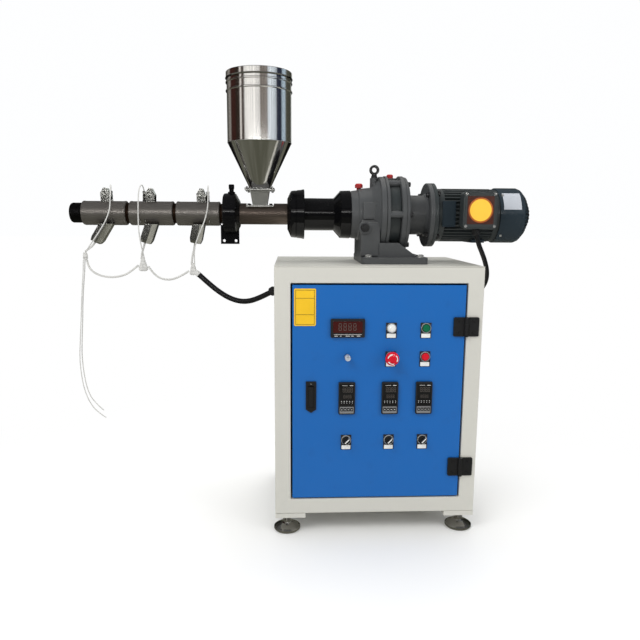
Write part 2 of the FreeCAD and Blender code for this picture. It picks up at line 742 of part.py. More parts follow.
def heater_terminal_boxes():
    """Sheet caps over the bands' terminals, hung slanting under the front of the barrel."""
    boxes = []
    for x, tilt in cap_places:
        half = cap_w / 2
        low, high = cap_z - cap_len / 2, cap_z + 60
        outline = [(x - half + 8, low), (x + half - 8, low), (x + half, low + 14), (x + half, high),
                   (x - half, high), (x - half, low + 14)]
        cap = rounded(slab(outline, cap_y - cap_d / 2, cap_y + cap_d / 2 + 6), 2.0, Y)
        cap.rotate(Vector(x, cap_y, cap_z), Y, tilt)
        cap = cap.cut([box(x - 120, x + 120, 0, 400, axis_z - 32, axis_z + 100)])
        boxes.append(cap.cut([rod((x - 100, axis_y, axis_z), X, barrel_r + band_t + snug, 200)]))
    return boxes


# ---------------------------------------------------------------- hopper

def frustum(z0, side0, z1, side1):
    """A square block about the hopper's centre line that narrows from one height to the other."""
    wires = []
    for z, side in ((z0, side0), (z1, side1)):
        h = side / 2
        corners = [Vector(hopper_x + a * h, axis_y + b * h, z) for a, b in ((-1, -1), (1, -1), (1, 1), (-1, 1))]
        wires.append(Part.makePolygon(corners + corners[:1]))
    return Part.makeLoft(wires, True, True)


def hopper_throat():
    """Square throat that narrows downwards, with its foot flange and the plate under the hopper."""
    foot = box(hopper_x - throat_flange_w / 2, hopper_x + throat_flange_w / 2, axis_y - throat_flange_d / 2,
               axis_y + throat_flange_d / 2, seat_z, throat_z)
    plate = box(hopper_x - plate_side / 2, hopper_x + plate_side / 2, axis_y - plate_side / 2,
                axis_y + plate_side / 2, plates_z, plates_z + plate_t)
    outer = frustum(throat_z, throat_bottom, plates_z, throat_top)
    inner = frustum(seat_z - 1, throat_bottom - 2 * throat_wall, plates_z + plate_t + 1,
                    throat_top - 2 * throat_wall)
    return fused(foot, outer, plate).cut(inner)


def hopper_point():
    return (hopper_x, axis_y, 0)


def hopper_cone():
    w = hopper_wall
    cone = turned([(cone_z, cone_bottom_r - w), (cone_z, cone_bottom_r), (cylinder_z, hopper_r),
                   (cylinder_z, hopper_r - w)], hopper_point(), Z)
    plate = box(hopper_x - plate_side / 2, hopper_x + plate_side / 2, axis_y - plate_side / 2,
                axis_y + plate_side / 2, cone_z - plate_t, cone_z)
    mouth = rod((hopper_x, axis_y, cone_z - plate_t - 1), Z, throat_top / 2 - throat_wall, plate_t + 2)
    return fused(cone, plate.cut(mouth))


def hopper_cylinder():
    """Rolled shell with two swaged beads near its rim."""
    w, r = hopper_wall, hopper_r
    bead_zs = (rim_z - 49, rim_z - 25)
    outside = [(cylinder_z, r)]
    inside = [(cylinder_z, r - w)]
    for z in bead_zs:
        outside += [(z - 3, r), (z - 1, r + bead_r), (z + 1, r + bead_r), (z + 3, r)]
        inside += [(z - 3, r - w), (z - 1, r - w + bead_r), (z + 1, r - w + bead_r), (z + 3, r - w)]
    outside.append((rim_z, r))
    inside.append((rim_z, r - w))
    return turned(outside + inside[::-1], hopper_point(), Z)


def hopper_lid():
    """Lift-off cap that rests on the shell's rim."""
    w, r = hopper_wall, hopper_r
    play = 0.6
    top = rim_z + snug + lid_top_t
    low = top - lid_rim
    return turned([(rim_z + snug, 0), (rim_z + snug, r + play), (low, r + play), (low, r + play + w + 1),
                   (low + 2, r + play + w + 2), (low + 4, r + play + w), (top - 1.5, r + play + w),
                   (top, r + play + w - 1.5), (top, 0)], hopper_point(), Z)


# ---------------------------------------------------------------- cords

def cord_tube(name, points, diameter):
    """A round cord: straight runs joined by arcs as large as the two runs allow."""
    edges, radii, at = [], [], points[0]
    for before, corner, after in zip(points, points[1:], points[2:]):
        run_in, run_out = corner - before, after - corner
        turn = run_in.getAngle(run_out)
        reach = 0.45 * min(run_in.Length, run_out.Length)
        radii.append(reach / math.tan(turn / 2))
        start = corner - run_in.normalize() * reach
        end = corner + run_out.normalize() * reach
        centre_way = (run_out - run_in).normalize()
        centre = corner + centre_way * math.hypot(radii[-1], reach)
        middle = centre - centre_way * radii[-1]
        edges.append(Part.LineSegment(at, start).toShape())
        edges.append(Part.Arc(start, middle, end).toShape())
        at = end
    edges.append(Part.LineSegment(at, points[-1]).toShape())
    path = Part.Wire(edges)
    ring = Part.Wire(Part.makeCircle(diameter / 2, points[0], points[1] - points[0]))
    solid = path.makePipeShell([ring], True, False)
    section = math.pi * diameter ** 2 / 4
    print("%-16s length %6.1f  least radius %5.1f (%.1f diameters)  volume / (section x length) %.4f"
          % (name, path.Length, min(radii), min(radii) / diameter, solid.Volume / section / path.Length))
    return solid


# Heights of the taped joints and of the routes are counted from the screw line.
# Centre and size of each taped joint, from the die end inwards
wrap_boxes = ((-571.0, 160.0, -129.0, 16.0, 12.0, 22.0),
              (-400.0, 160.0, -151.0, 24.0, 12.0, 26.0),
              (-250.0, 160.0, -167.0, 22.0, 12.0, 24.0))

# Diameter and the points of each route
cord_routes = {
    "heater_conduit": (16.0, [(-234, 160, -183), (-204, 155, -210), (-171, 148, -236), (-135, 139, -256),
                              (-96, 129, -264), (-55, 117, -254), (-14, 102, -231)]),
    "motor_cable": (14.0, [(596, 86, -57), (602, 86, -83), (616, 88, -111), (628, 92, -138), (637, 98, -166),
                           (639, 107, -194), (632, 117, -217), (620, 124, -231), (609, 128, -239)]),
    "harness_loop_1": (6.0, [(-567, 160, -140.3), (-564, 159, -159), (-549, 158, -178), (-522, 158, -190),
                             (-490, 158, -193), (-458, 158, -187), (-433, 159, -172), (-414.3, 160, -156)]),
    "harness_loop_2": (6.0, [(-385.2, 160, -159), (-369, 159, -183), (-345, 158, -198), (-317, 158, -200),
                             (-288, 158, -189), (-262.9, 160, -173)]),
    "probe_lead_1": (3.5, [(-497, 200, 65.8), (-496, 197, 79), (-492, 181, 84), (-489, 166, 69),
                           (-488, 157, 43), (-490, 155, 12), (-498, 143, -19), (-514, 137, -48),
                           (-534, 137, -76), (-552, 142, -99), (-567, 157, -115.8)]),
    "probe_lead_2": (3.5, [(-398, 200, 65.8), (-399, 197, 79), (-402, 183, 85), (-405, 167, 71),
                           (-406, 158, 46), (-407, 155, 16), (-407, 151, -14), (-405, 142, -43),
                           (-402, 138, -72), (-399, 142, -98), (-397, 152, -119), (-395, 157, -136.4)]),
    "probe_lead_3": (3.5, [(-206, 200, 65.8), (-205, 197, 79), (-202, 182, 84), (-200, 166, 69),
                           (-200, 158, 43), (-202, 156, 13), (-208, 144, -17), (-219, 137, -45),
                           (-232, 138, -74), (-241, 141, -101), (-245, 152, -127), (-245, 157, -153.4)]),
    "heater_lead_1": (6.0, [(-540.6, 164, -87), (-549, 164, -99), (-561, 164, -107), (-572, 163.4, -115.4)]),
    "heater_lead_2": (6.0, [(-392.8, 164, -88.8), (-398, 164, -104), (-403, 163, -120), (-405, 162, -137.4)]),
    "heater_lead_3": (6.0, [(-243.4, 164, -89.8), (-247, 164, -110), (-253, 163, -131), (-255, 162, -154.5)]),
    "tail_lead_1": (3.0, [(-573.5, 162.5, -140.4), (-575, 162, -165), (-580, 161, -209), (-586, 161, -261),
                          (-590, 162, -317), (-595, 162, -374), (-599, 161, -432), (-596, 160, -489),
                          (-588, 159, -543), (-570, 158, -583), (-540, 158, -611)]),
    "tail_lead_2": (3.0, [(-576.8, 157.5, -140.4), (-578, 157, -166), (-583, 156, -211), (-588, 155, -265),
                          (-593, 155, -322), (-599, 156, -380), (-604, 155, -437), (-602, 154, -494),
                          (-594, 153, -547), (-577, 153, -591), (-556, 154, -617), (-533, 155, -634)]),
}


def route(name):
    """A route's diameter and its points, with their heights counted from the floor."""
    diameter, points = cord_routes[name]
    return diameter, [Vector(x, y, axis_z + z) for x, y, z in points]


def route_end(name, last):
    """The end point of a route and the way it points outwards."""
    diameter, points = route(name)
    if last:
        return points[-1], (points[-1] - points[-2]).normalize()
    return points[0], (points[0] - points[1]).normalize()


def lead_wraps():
    """Taped joints where the leads meet; the last one runs into the black sleeve."""
    wraps = []
    for x, y, z, w, d, h in wrap_boxes:
        middle = axis_z + z
        wrap = box(x - w / 2, x + w / 2, y - d / 2, y + d / 2, middle - h / 2, middle + h / 2)
        wraps.append(rounded(wrap, 2.0, Y))
    end, way = route_end("heater_conduit", False)
    neck = rod(end + way * snug, way, 5.0, 18.0)
    wraps[2] = fused(wraps[2], neck)
    return wraps


def cords():
    solids = {}
    for name in cord_routes:
        diameter, points = route(name)
        solids[name] = cord_tube(name, points, diameter)
    return solids


def angled_gland(name, last, wall):
    """A gland whose neck follows the cord's end, cut off by the wall that it is screwed into."""
    end, way = route_end(name, last)
    neck_r = cord_routes[name][0] / 2 + 3
    return rod(end + way * snug, way, neck_r, 40).cut([wall])


def cable_glands():
    """Glands in the cabinet's left side, in its right side and under the terminal box."""
    reach = 60.0
    left_wall = box(panel_inset, panel_inset + reach, 0, cabinet_d, frame_z, top_z)
    right_wall = box(cabinet_w - panel_inset - reach, cabinet_w - panel_inset, 0, cabinet_d, frame_z, top_z)
    box_bottom = box_z - box_h / 2 + 3
    over = box(box_x, box_x + box_w, 0, axis_y, box_bottom, box_bottom + reach)
    glands = [angled_gland("heater_conduit", True, left_wall), angled_gland("motor_cable", True, right_wall),
              angled_gland("motor_cable", False, over)]
    return glands


def main():
    os.makedirs("parts", exist_ok=True)
    left = control_columns[0]
    save("frame_posts", *frame_posts())
    save("frame_rails", *frame_rails())
    save("top_plate", box(0, cabinet_w, 0, cabinet_d, top_z - sheet, top_z))
    save("cabinet_panels", *cabinet_panels())
    save("corner_plates", *corner_plates())
    save("levelling_feet", *levelling_feet())
    save("door", door())
    save("hinge_door_leaves", *[hinge_leaf(z, -1) for z in hinge_zs])
    save("hinge_frame_leaves", *[hinge_leaf(z, 1) for z in hinge_zs])
    save("latch_dish", latch_dish())
    save("latch_handle", latch_handle())
    save("temperature_controllers", *[panel_instrument(x, controller_row_z, controller_w, controller_h,
                                                       controller_neck, controller_depth)
                                      for x in control_columns])
    save("panel_meter", panel_instrument(left, lamp_row_z, meter_w, meter_h, meter_neck, meter_depth))
    save("switch_collars", *switch_collars())
    makers = {"power_lamp": lamp, "start_button": flat_button, "stop_button": flat_button, "estop_button": estop}
    for name, x, z in switch_places():
        save(name, makers.get(name, selector_knob)(x, z))
    save("speed_knob", speed_knob(left, stop_row_z))
    save("gearbox_housing", gearbox_housing())
    save("pinwheel_ring", pinwheel_ring())
    save("input_cover", input_cover())
    save("motor_frame", motor_frame())
    save("fan_cover", fan_cover())
    save("terminal_box", terminal_box())
    save("lifting_eye", lifting_eye())
    save("oil_plugs", *oil_plugs())
    save("thrust_housing", thrust_housing())
    save("drive_flange", drive_flange())
    save("feed_section", feed_section())
    save("barrel_flange", barrel_flange())
    save("hose_nipple", hose_nipple())
    save("barrel", barrel())
    save("screw", screw())
    save("die_nut", die_nut())
    save("heater_bands", *heater_bands())
    save("band_clamps", *band_clamps())
    save("temperature_probes", *temperature_probes())
    save("heater_terminal_boxes", *heater_terminal_boxes())
    save("hopper_throat", hopper_throat())
    save("hopper_cone", hopper_cone())
    save("hopper_cylinder", hopper_cylinder())
    save("hopper_lid", hopper_lid())
    save("cable_glands", *cable_glands())
    save("lead_wraps", *lead_wraps())
    for name, solid in cords().items():
        save(name, solid)
    everything = Part.makeCompound(list(parts.values())).BoundBox
    print("box x %.1f..%.1f  y %.1f..%.1f  z %.1f..%.1f" % (everything.XMin, everything.XMax, everything.YMin,
                                                          everything.YMax, everything.ZMin, everything.ZMax))


main()
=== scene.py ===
import math

import bmesh
import bpy
from mathutils import Matrix, Vector


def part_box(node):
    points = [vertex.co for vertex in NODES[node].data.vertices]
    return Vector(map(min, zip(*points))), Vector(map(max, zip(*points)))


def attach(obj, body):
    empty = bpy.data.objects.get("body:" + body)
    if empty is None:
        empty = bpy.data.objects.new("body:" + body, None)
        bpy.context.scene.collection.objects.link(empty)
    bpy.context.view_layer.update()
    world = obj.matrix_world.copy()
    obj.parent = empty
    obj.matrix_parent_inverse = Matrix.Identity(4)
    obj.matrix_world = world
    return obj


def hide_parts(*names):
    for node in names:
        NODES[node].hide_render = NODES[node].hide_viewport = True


bl_info = {
    "name": "Plastic Extruder",
    "version": (1, 0, 0),
    "blender": (4, 5, 0),
    "location": "View3D > Sidebar > Extruder",
    "description": "Finishes, fittings and leads of a small single-screw plastic extruder",
    "category": "Object",
}

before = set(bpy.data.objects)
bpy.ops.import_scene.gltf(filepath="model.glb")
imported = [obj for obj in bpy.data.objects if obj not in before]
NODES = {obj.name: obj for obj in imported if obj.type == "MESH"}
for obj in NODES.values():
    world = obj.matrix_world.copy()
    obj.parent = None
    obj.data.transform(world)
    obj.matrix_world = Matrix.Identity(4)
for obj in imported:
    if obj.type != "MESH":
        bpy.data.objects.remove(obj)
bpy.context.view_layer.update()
MM = 0.001
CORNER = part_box("frame_posts")[0]

# Places in millimetres from the cabinet's front left corner on the floor
SCREW_Y = 200.0
SCREW_Z = 951.0
HOPPER_X = -47.0
COLUMNS = (209.0, 335.0, 435.0)
LAMP_Z, STOP_Z, CONTROLLER_Z, SELECTOR_Z = 630.0, 546.0, 423.0, 295.0
BAND_XS = (-299.5, -440.0, -580.5)
BAND_LEN = 130.5
HINGE_X = 551.5
HINGE_ZS = (633.0, 208.0)
CAMERA_PLACE = (50.9, -1683.7, 934.7)
CAMERA_TURNS = (2.684, 9.485, 0.388)  # yaw, pitch and roll in degrees
LEVEL_PLUG = (266, 97, 912)
THROAT_CORNERS = (-37, 37)
MIRRORED_AIR = 0.14  # how bright the air looks in polished metal

LEFT, RIGHT, UP, DOWN = Vector((-1, 0, 0)), Vector((1, 0, 0)), Vector((0, 0, 1)), Vector((0, 0, -1))
BACK, FRONT = Vector((0, 1, 0)), Vector((0, -1, 0))


def at(x, y, z):
    """A point given in millimetres from the cabinet's front left corner on the floor."""
    return Vector((CORNER.x + x * MM, CORNER.y + y * MM, z * MM))


SCREW_LINE, HOPPER_LINE = at(0, SCREW_Y, SCREW_Z), at(HOPPER_X, SCREW_Y, 0)


# ---------------------------------------------------------------- settings

def colour(label, default):
    return bpy.props.FloatVectorProperty(name=label, description=label + " colour", subtype="COLOR", size=3,
                                         min=0.0, max=1.0, default=default)


class ExtruderColours(bpy.types.PropertyGroup):
    cabinet: colour("Cabinet coat", (0.60, 0.59, 0.535))
    door: colour("Door coat", (0.0, 0.122, 0.44))
    casting: colour("Gearbox enamel", (0.056, 0.059, 0.061))
    motor: colour("Motor enamel", (0.028, 0.034, 0.035))
    cowl: colour("Fan cowl enamel", (0.020, 0.030, 0.038))
    black: colour("Gloss black enamel", (0.003, 0.003, 0.0035))
    plug: colour("Oil plug", (0.30, 0.022, 0.02))
    stop: colour("Stop button", (0.62, 0.004, 0.018))
    start: colour("Start button", (0.0, 0.13, 0.055))
    label: colour("Door plate", (0.86, 0.52, 0.008))
    sticker: colour("Terminal box plate", (0.055, 0.012, 0.006))
    disc: colour("Terminal box disc", (0.95, 0.55, 0.04))
    ring: colour("Terminal box ring", (0.40, 0.085, 0.008))


def length(label, about, default):
    return bpy.props.FloatProperty(name=label, description=about, default=default, min=0.0, unit="LENGTH")


def power(label, about, default):
    return bpy.props.FloatProperty(name=label, description=about, default=default, unit="POWER")


def brightness(label, about, default):
    return bpy.props.FloatProperty(name=label, description=about, default=default, min=0.0)


class ExtruderSizes(bpy.types.PropertyGroup):
    tube_edge: length("Tube edge", "Rounding of the frame's tubes", 0.0028)
    cast_edge: length("Casting edge", "Rounding of the castings' edges", 0.0016)
    base_bolt: length("Base bolt", "Width across flats of the base bolts", 0.017)
    flange_bolt: length("Flange bolt", "Width across flats of the throat flange's bolts", 0.008)
    turns: bpy.props.IntProperty(name="Turning steps", description="Faces round a turned piece", default=96,
                                 min=12)


class ExtruderStage(bpy.types.PropertyGroup):
    key: power("Key light", "Power of the key light", 50.0)
    fill: power("Fill light", "Power of the fill light", 20.0)
    top: power("Top light", "Power of the top light", 36.0)
    rim: power("Rim light", "Power of the light behind", 20.0)
    strip: brightness("Strip", "Brightness of the strip that shiny tubes reflect", 13.0)
    air: brightness("Air", "Brightness of the light from all round", 0.6)
    lens: bpy.props.FloatProperty(name="Lens", description="Focal length in millimetres", default=33.76)


def colours():
    return bpy.context.scene.extruder_colours


def sizes():
    return bpy.context.scene.extruder_sizes


# ---------------------------------------------------------------- shader maths

class Socket:
    """A value in a material's nodes; arithmetic on it adds Math nodes."""

    def __init__(self, finish, link):
        self.finish, self.link = finish, link

    def maths(self, operation, a, b=0.0, c=0.0):
        return self.finish.node("ShaderNodeMath", {"operation": operation}, {0: a, 1: b, 2: c})

    def __add__(self, other):
        return self.maths("ADD", self, other)

    def __sub__(self, other):
        return self.maths("SUBTRACT", self, other)

    def __rsub__(self, other):
        return self.maths("SUBTRACT", other, self)

    def __mul__(self, other):
        return self.maths("MULTIPLY", self, other)

    def __truediv__(self, other):
        return self.maths("DIVIDE", self, other)

    def above(self, low, high):
        """0 below low, 1 above high, and a smooth step between them."""
        return self.finish.node("ShaderNodeMapRange", {"interpolation_type": "SMOOTHSTEP"},
                                {"Value": self, "From Min": low, "From Max": high})

    __radd__ = __add__
    __rmul__ = __mul__


class Finish:
    """One material, built a node at a time."""

    def __init__(self, name):
        self.material = bpy.data.materials.new(name)
        self.material.use_nodes = True
        self.tree = self.material.node_tree
        self.shader = self.tree.nodes["Principled BSDF"]

    def node(self, kind, settings, inputs, output=0):
        made = self.tree.nodes.new(kind)
        for name, value in settings.items():
            if name == "stops":
                ramp = made.color_ramp
                for place, _ in value[1:-1]:
                    ramp.elements.new(place)
                for element, (place, shade) in zip(ramp.elements, value):
                    element.position, element.color = place, (*shade, 1.0)
            else:
                setattr(made, name, value)
        for key, value in inputs.items():
            self.feed(made.inputs[key], value)
        return Socket(self, made.outputs[output])

    def feed(self, socket, value):
        if isinstance(value, Socket):
            self.tree.links.new(value.link, socket)
        elif socket.type == "RGBA" and len(value) == 3:
            socket.default_value = (*value, 1.0)
        else:
            socket.default_value = value

    def set(self, **values):
        for name, value in values.items():
            self.feed(self.shader.inputs[name.replace("_", " ")], value)

    def place(self, scale=(1, 1, 1), about=(0, 0, 0), turn=(0, 0, 0)):
        """Object coordinates, centred on a point, turned and scaled."""
        coords = self.node("ShaderNodeTexCoord", {}, {}, "Object")
        if tuple(about) != (0, 0, 0):
            coords = self.node("ShaderNodeMapping", {}, {"Vector": coords, "Location": tuple(-Vector(about))})
        return self.node("ShaderNodeMapping", {}, {"Vector": coords, "Rotation": turn, "Scale": scale})

    def axis(self, coords, which):
        return self.node("ShaderNodeSeparateXYZ", {}, {"Vector": coords}, which)

    def noise(self, coords, scale, detail=2.0, rough=0.5):
        return self.node("ShaderNodeTexNoise", {}, {"Vector": coords, "Scale": scale, "Detail": detail,
                                                    "Roughness": rough})

    def mix(self, factor, a, b):
        return self.node("ShaderNodeMix", {"data_type": "RGBA"}, {0: factor, 6: a, 7: b}, 2)

    def facing_up(self):
        normal = self.node("ShaderNodeNewGeometry", {}, {}, "Normal")
        return self.axis(normal, "Z")

    def bump(self, height, depth, strength=1.0, under=None):
        inputs = {"Strength": strength, "Distance": depth, "Height": height}
        if under:
            inputs["Normal"] = under
        return self.node("ShaderNodeBump", {}, inputs)

    def emission(self, colour, strength):
        return self.node("ShaderNodeEmission", {}, {"Color": colour, "Strength": strength})

    def show(self, shader):
        """Puts a shader's socket in the place of the principled one."""
        self.tree.links.new(shader.link, self.tree.nodes["Material Output"].inputs["Surface"])


def shade(rgb, factor):
    return tuple(min(1.0, channel * factor) for channel in rgb)


def powder_coat(name, rgb, rough=0.36, grain=900.0, depth=0.00007, grime=0.12):
    """Sprayed coat with a fine orange peel, a little uneven in tone."""
    f = Finish(name)
    coords = f.place()
    broad, blotch = f.noise(coords, 2.6, 3.0), f.noise(coords, 23.0, 4.0, 0.6)
    base = f.mix(broad, shade(rgb, 0.93), shade(rgb, 1.05))
    smudge = blotch.above(0.56, 0.78) * grime
    f.set(Base_Color=f.mix(smudge, base, shade(rgb, 0.55)), Roughness=rough - 0.05 + 0.1 * blotch,
          Specular_IOR_Level=0.5, Coat_Weight=0.25, Coat_Roughness=0.16,
          Normal=f.bump(f.noise(coords, grain, 2.0), depth))
    return f.material


def cast_enamel(name, rgb, rough=0.42, lump=150.0, depth=0.00035, dust=0.35):
    """Enamel brushed over rough castings, with dust on what faces up."""
    f = Finish(name)
    coords = f.place()
    lumps, fine = f.noise(coords, lump, 5.0, 0.6), f.noise(coords, 900.0, 2.0)
    broad = f.noise(coords, 6.0, 3.0)
    base = f.mix(broad, shade(rgb, 0.82), shade(rgb, 1.22))
    settled = f.facing_up().above(0.55, 1.0) * broad.above(0.35, 0.8) * dust
    worn = f.noise(coords, 60.0, 6.0, 0.7).above(0.66, 0.74) * 0.25
    base = f.mix(worn, base, shade(rgb, 2.2))
    bumps = f.bump(lumps, depth, under=f.bump(fine, 0.00006))
    f.set(Base_Color=f.mix(settled, base, (0.30, 0.29, 0.27)), Roughness=rough + 0.22 * settled + 0.1 * lumps,
          Coat_Weight=0.12, Coat_Roughness=0.22, Normal=bumps)
    return f.material


def gloss_enamel(name, rgb, rough=0.09, wave=34.0, depth=0.0004, dust=0.05):
    """Shiny enamel with slight runs and a few dust specks."""
    f = Finish(name)
    coords = f.place()
    run, specks, broad = f.noise(coords, wave, 2.0), f.noise(coords, 520.0, 3.0), f.noise(coords, 9.0, 4.0)
    dusty = specks.above(0.62, 0.72) * broad.above(0.4, 0.7) * dust * 4.0
    f.set(Base_Color=f.mix(dusty, rgb, (0.22, 0.21, 0.20)), Roughness=rough + 0.09 * broad + 0.2 * dusty,
          Specular_IOR_Level=0.2, Coat_Weight=0.2, Coat_Roughness=0.05,
          Normal=f.bump(run, depth, 0.5, f.bump(specks, 0.00002)))
    return f.material


def turned_metal(name, rgb, rough=0.32, about=(0, 0, 0), rings=(900, 6, 6), tint=None, depth=0.00005,
                 spread=0.14, metal=1.0):
    """Bare metal with fine tool or brush lines, patchy in gloss and colour."""
    f = Finish(name)
    lines = f.noise(f.place(rings, about), 1.0, 4.0, 0.6)
    coords = f.place()
    broad, blotch = f.noise(coords, 11.0, 4.0, 0.6), f.noise(coords, 55.0, 5.0, 0.65)
    base = f.mix(lines, shade(rgb, 0.8), shade(rgb, 1.15))
    base = f.mix(broad.above(0.45, 0.7) * 0.75, base, tint or shade(rgb, 0.7))
    f.set(Base_Color=base, Metallic=metal, Roughness=rough + spread * blotch + 0.12 * lines - 0.1,
          Normal=f.bump(lines, depth))
    return f.material


def mirror_sheet(name, rgb, centre, rough=0.035, ripple=0.0011):
    """Polished sheet rolled round a vertical line, so it ripples from side to side only."""
    f = Finish(name)
    coords = f.place((1, 1, 0.05), centre)
    waves = f.noise(coords, 34.0, 2.5, 0.6)
    polish = f.noise(f.place((60, 60, 900), centre), 1.0, 3.0)
    smear = f.noise(f.place(), 14.0, 5.0, 0.6)
    f.set(Base_Color=f.mix(smear, shade(rgb, 0.94), rgb), Metallic=1.0,
          Roughness=rough + 0.06 * smear.above(0.5, 0.8) + 0.02 * polish,
          Normal=f.bump(waves, ripple, 0.7, f.bump(polish, 0.000004)))
    return f.material


def moulded(name, rgb, rough=0.38, grain=1500.0, depth=0.00003, coat=0.0):
    """Moulded plastic with a fine spark-eroded grain."""
    f = Finish(name)
    coords = f.place()
    fine, broad = f.noise(coords, grain, 2.0), f.noise(coords, 16.0, 3.0)
    f.set(Base_Color=f.mix(broad, shade(rgb, 0.9), shade(rgb, 1.08)), Roughness=rough - 0.04 + 0.1 * broad,
          Coat_Weight=coat, Coat_Roughness=0.04, Normal=f.bump(fine, depth))
    return f.material


def woven_sleeve(name, rgb, thread=2400.0):
    """Braided glass sleeve: two crossing sets of fine threads, a little scorched."""
    f = Finish(name)
    coords = f.place(turn=(0.0, 0.6, 0.75))
    other = f.place(turn=(0.0, -0.6, -0.75))
    crossing = (f.axis(coords, "X") * thread).maths("SINE", f.axis(coords, "X") * thread)
    second = f.axis(other, "X") * thread
    weave = crossing * second.maths("SINE", second)
    patches = f.noise(f.place(), 38.0, 4.0, 0.6)
    f.set(Base_Color=f.mix(patches.above(0.45, 0.75) * 0.5, rgb, shade(rgb, 0.6)), Roughness=0.78,
          Sheen_Weight=0.25, Normal=f.bump(weave, 0.0002, 0.6))
    return f.material


def glass_tape(name, rgb):
    """Cloth tape wound round the joints."""
    f = Finish(name)
    coords = f.place()
    turns = (f.axis(coords, "Z") * 620.0 + f.noise(coords, 90.0, 2.0) * 3.0)
    ridges = turns.maths("SINE", turns)
    threads = f.noise(f.place((1800, 1800, 250)), 1.0, 2.0)
    dirt = f.noise(coords, 130.0, 4.0)
    f.set(Base_Color=f.mix(dirt.above(0.45, 0.75) * 0.6, rgb, shade(rgb, 0.5)), Roughness=0.7,
          Normal=f.bump(ridges, 0.0008, 0.7, f.bump(threads, 0.0001)))
    return f.material


def black_sleeve(name, rgb):
    """Smooth black cable sleeve, softly shiny."""
    f = Finish(name)
    coords = f.place()
    scuff, fine = f.noise(coords, 90.0, 5.0, 0.65), f.noise(coords, 1100.0, 2.0)
    f.set(Base_Color=f.mix(scuff.above(0.5, 0.8) * 0.35, rgb, (0.03, 0.029, 0.028)),
          Roughness=0.26 + 0.16 * scuff, Normal=f.bump(scuff, 0.0003, 0.5, f.bump(fine, 0.00002)))
    return f.material


# Every finish: its maker, its colour or the name of the colour's setting, and the maker's other values
FINISHES = {
    "cabinet coat": (powder_coat, "cabinet", 0.40, 700.0, 0.00006, 0.10),
    "door coat": (powder_coat, "door", 0.34, 620.0, 0.00008, 0.16),
    "gearbox enamel": (cast_enamel, "casting"),
    "motor enamel": (cast_enamel, "motor", 0.36, 90.0, 0.00018, 0.2),
    "cowl enamel": (gloss_enamel, "cowl", 0.16, 18.0, 0.0012, 0.08),
    "black enamel": (gloss_enamel, "black"),
    "black casting": (cast_enamel, (0.012, 0.012, 0.013), 0.38, 260.0, 0.00012, 0.12),
    "band steel": (turned_metal, (0.40, 0.385, 0.335), 0.36, SCREW_LINE, (3, 260, 260), (0.28, 0.24, 0.20)),
    "feed steel": (turned_metal, (0.20, 0.168, 0.148), 0.34, SCREW_LINE, (700, 3, 3), (0.09, 0.055, 0.04)),
    "groove brown": (turned_metal, (0.075, 0.045, 0.03), 0.55, SCREW_LINE, (700, 3, 3), (0.035, 0.02, 0.014)),
    "zinc plate": (turned_metal, (0.62, 0.62, 0.59), 0.20, SCREW_LINE, (40, 40, 300), (0.45, 0.44, 0.40),
                   0.00002, 0.08),
    "bright steel": (turned_metal, (0.72, 0.72, 0.70), 0.18, (0, 0, 0), (90, 90, 90), (0.5, 0.5, 0.48),
                     0.00001, 0.08, 0.7),
    "foot nickel": (turned_metal, (0.50, 0.49, 0.47), 0.17, (0, 0, 0), (3, 3, 700), (0.32, 0.30, 0.27),
                    0.00003, 0.10),
    "throat steel": (turned_metal, (0.74, 0.75, 0.71), 0.42, HOPPER_LINE, (220, 220, 4), (0.42, 0.42, 0.39),
                     0.00003, 0.14, 0.45),
    "mirror steel": (mirror_sheet, (0.80, 0.79, 0.77), HOPPER_LINE),
    "blackened steel": (turned_metal, (0.022, 0.022, 0.023), 0.50, SCREW_LINE, (1400, 3, 3),
                        (0.012, 0.012, 0.012), 0.00012),
    "spun aluminium": (turned_metal, (0.60, 0.63, 0.68), 0.25, (0, 0, 0), (600, 4, 600), (0.50, 0.53, 0.58),
                       0.00002, 0.06, 0.3),
    "instrument case": (moulded, (0.016, 0.016, 0.018), 0.42),
    "dark window": (moulded, (0.006, 0.006, 0.007), 0.10, 300.0, 0.000004, 0.5),
    "red window": (moulded, (0.05, 0.006, 0.006), 0.10, 300.0, 0.000004, 0.6),
    "key grey": (moulded, (0.20, 0.20, 0.20), 0.5),
    "print white": (moulded, (0.70, 0.70, 0.68), 0.5),
    "dim segment": (moulded, (0.10, 0.085, 0.075), 0.4),
    "switch black": (moulded, (0.016, 0.016, 0.018), 0.32),
    "white lens": (moulded, (0.80, 0.80, 0.77), 0.16, 400.0, 0.00001, 0.5),
    "green cap": (moulded, "start", 0.2, 400.0, 0.00001, 0.5),
    "red cap": (moulded, "stop", 0.2, 400.0, 0.00001, 0.5),
    "knob black": (moulded, (0.010, 0.010, 0.011), 0.28, 900.0, 0.00002, 0.2),
    "plug red": (moulded, "plug", 0.42, 700.0, 0.00006),
    "plate yellow": (moulded, "label", 0.30, 900.0, 0.00002, 0.3),
    "plate orange": (moulded, "sticker", 0.34, 900.0, 0.00002, 0.2),
    "ring orange": (moulded, "ring", 0.34, 900.0, 0.00002, 0.2),
    "disc yellow": (moulded, "disc", 0.34, 900.0, 0.00002, 0.2),
    "tag white": (moulded, (0.78, 0.78, 0.76), 0.35, 700.0, 0.00002, 0.2),
    "glass braid": (woven_sleeve, (0.56, 0.555, 0.53)),
    "glass tape": (glass_tape, (0.60, 0.595, 0.57)),
    "black sleeve": (black_sleeve, (0.006, 0.006, 0.007)),
    "nylon black": (moulded, (0.014, 0.014, 0.015), 0.34, 900.0, 0.00004),
    # painted shade: near-black for the shade inside the cowl's vent holes
    "vent dark": (moulded, (0.004, 0.004, 0.004), 0.8),
}


